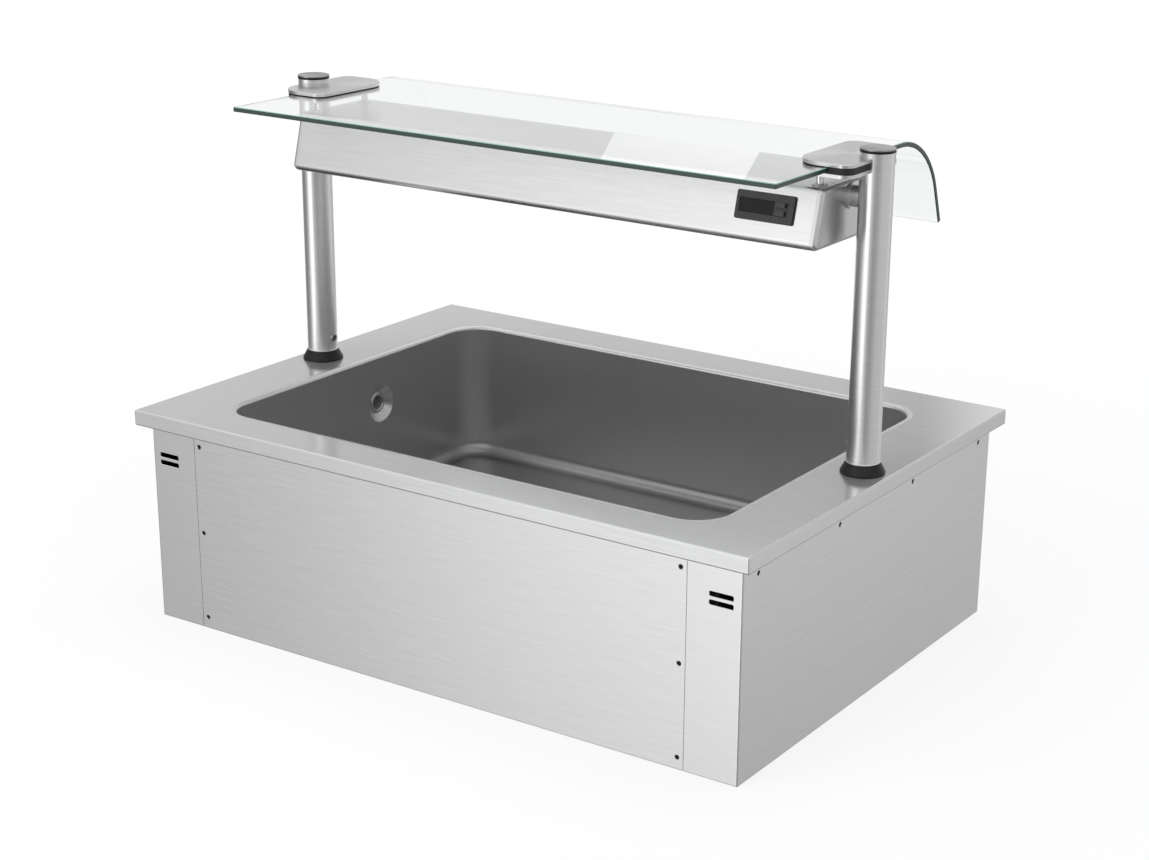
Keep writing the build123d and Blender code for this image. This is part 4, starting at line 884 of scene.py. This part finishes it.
def surround(paint):
    """Brightness of the studio round the object: three rings of walls, a pale zenith and a leaning card."""
    x, y, z = paint.axes(paint.node("ShaderNodeTexCoord", output="Generated"))
    turn = x.maths("ARCTAN2", x, y * -1.0) * math.degrees(1)
    steps = [(height + 1.0, level / BRIGHTEST) for height, level in FLOOR_FALL]
    low = ring_of_walls(paint, turn, LOW_WALLS) * paint.ramp(z + 1.0, steps) * BRIGHTEST
    lit = blend(paint, low, ring_of_walls(paint, turn, HIGH_WALLS), z, LOW_TO_HIGH)
    lit = blend(paint, lit, ring_of_walls(paint, turn, TOP_WALLS), z, HIGH_TO_TOP)
    lit = blend(paint, lit, ZENITH, z, TOP_TO_ZENITH)
    right, left = CARD_TURNS
    leant = turn - (z - CARD_HEIGHT) * CARD_LEAN
    across = (leant > right) * (leant < left)
    foot = (turn - left) * CARD_SLOPE + CARD_HEIGHT
    card = across * (z > foot) * (z < CARD_HEIGHT * CARD_TALL)
    level = (turn - right) * CARD_FADE + CARD_LEVEL
    return lit + (level - lit) * card


SENSOR_WIDTH = 36.0
KEY_SIZE = (2.6, 1.6)
KEY_PLACE = (-1.3, -3.0, 2.6)
TOP_SIZE = (2.4, 2.0)
TOP_PLACE = (0.3, 0.2, 3.2)
LIGHT_TARGET = (0, 0, 0.3)
FLOOR_GREY = (0.85, 0.85, 0.85, 1)
FLOOR_STRENGTH = 1.02
FLOOR_GLOW = ((0.3, 0.8), (1.0, 1.0))
WHITE_FROM = 2.2
SOFT_STRENGTH = 0.55


class DISPLAY_OT_stage(bpy.types.Operator):
    """Set up the camera, the floor and the lights"""

    bl_idname = "display.stage"
    bl_label = "Studio"

    def execute(self, context):
        look = context.scene.display_stage
        context.scene.view_settings.view_transform = "Standard"
        self.add_camera(context, look)
        self.add_floor(context, look)
        self.light_world(context)
        self.add_light(context, "key_light", look.key_power, KEY_SIZE, KEY_PLACE)
        self.add_light(context, "top_light", look.top_power, TOP_SIZE, TOP_PLACE)
        return {"FINISHED"}

    def add_camera(self, context, look):
        """Camera at the photograph's angle."""
        data = bpy.data.cameras.new("camera")
        data.lens = look.lens
        data.sensor_width = SENSOR_WIDTH
        data.shift_x, data.shift_y = look.shift
        camera = bpy.data.objects.new("camera", data)
        camera.location = look.place
        camera.rotation_euler = look.turn
        context.collection.objects.link(camera)
        context.scene.camera = camera

    def add_floor(self, context, look):
        """Pale floor that keeps the object's shadow near it and shows white to the camera further off."""
        shape = bmesh.new()
        bmesh.ops.create_grid(shape, x_segments=1, y_segments=1, size=look.floor_size / 2)
        mesh = bpy.data.meshes.new("floor")
        shape.to_mesh(mesh)
        shape.free()
        floor = bpy.data.objects.new("floor", mesh)
        context.collection.objects.link(floor)
        floor.visible_glossy = False
        paint = new_paint("floor_white")
        lit = paint.node("ShaderNodeBsdfDiffuse", inputs={"Color": FLOOR_GREY})
        glow = paint.node("ShaderNodeEmission", inputs={"Color": WHITE, "Strength": FLOOR_STRENGTH})
        far = paint.node("ShaderNodeVectorMath", {"operation": "LENGTH"}, {0: paint.place()}, "Value")
        share = paint.seen("Camera", "Transmission") * paint.ramp(far / WHITE_FROM, FLOOR_GLOW)
        mesh.materials.append(paint.done(paint.either(share, lit, glow)))

    def light_world(self, context):
        """White for the camera and through glass, walls for metal, and softer light for the rest."""
        world = bpy.data.worlds.new("studio")
        context.scene.world = world
        paint = Paint(world)
        soft = paint.node("ShaderNodeBackground", inputs={"Color": WHITE, "Strength": SOFT_STRENGTH})
        white = paint.node("ShaderNodeBackground", inputs={"Color": WHITE, "Strength": 1.0})
        walls = paint.node("ShaderNodeBackground", inputs={"Color": surround(paint), "Strength": 1.0})
        shown = paint.either(paint.seen("Camera", "Transmission"), soft, white)
        mirrored = paint.seen("Glossy") * (1 - paint.seen("Transmission"))
        paint.node("ShaderNodeOutputWorld", inputs={"Surface": paint.either(mirrored, shown, walls)})

    def add_light(self, context, name, power, size, place):
        """Soft rectangular light aimed at the object."""
        data = bpy.data.lights.new(name, "AREA")
        data.shape = "RECTANGLE"
        data.size, data.size_y = size
        data.energy = power
        lamp = bpy.data.objects.new(name, data)
        lamp.location = place
        towards = Vector(LIGHT_TARGET) - Vector(place)
        lamp.rotation_euler = towards.to_track_quat("-Z", "Y").to_euler()
        lamp.visible_glossy = False
        lamp.visible_transmission = False
        context.collection.objects.link(lamp)


STEPS = (
    DISPLAY_OT_worktop,
    DISPLAY_OT_well,
    DISPLAY_OT_casing,
    DISPLAY_OT_fasteners,
    DISPLAY_OT_posts,
    DISPLAY_OT_canopy,
    DISPLAY_OT_housing,
    DISPLAY_OT_controller,
    DISPLAY_OT_services,
    DISPLAY_OT_stage,
)


class DISPLAY_PT_panel(bpy.types.Panel):
    """Lists the display's pieces in the sidebar"""

    bl_idname = "DISPLAY_PT_panel"
    bl_label = "Ice cream display"
    bl_space_type = "VIEW_3D"
    bl_region_type = "UI"
    bl_category = "Display"

    def draw(self, context):
        for step in STEPS:
            self.layout.operator(step.bl_idname)


LOOKS = {
    "display_steel": SteelLook,
    "display_trim": TrimLook,
    "display_glass": GlassLook,
    "display_controller": ControllerLook,
    "display_stage": StageLook,
}
CLASSES = (*LOOKS.values(), *STEPS, DISPLAY_PT_panel)


def register():
    for one in CLASSES:
        bpy.utils.register_class(one)
    for name, look in LOOKS.items():
        setattr(bpy.types.Scene, name, PointerProperty(type=look))


def unregister():
    for name in LOOKS:
        delattr(bpy.types.Scene, name)
    for one in reversed(CLASSES):
        bpy.utils.unregister_class(one)


def main():
    register()
    bpy.ops.display.worktop()
    bpy.ops.display.well()
    bpy.ops.display.casing()
    bpy.ops.display.fasteners()
    bpy.ops.display.posts()
    bpy.ops.display.canopy()
    bpy.ops.display.housing()
    bpy.ops.display.controller()
    bpy.ops.display.services()
    bpy.ops.display.stage()


if __name__ == "__main__":
    main()
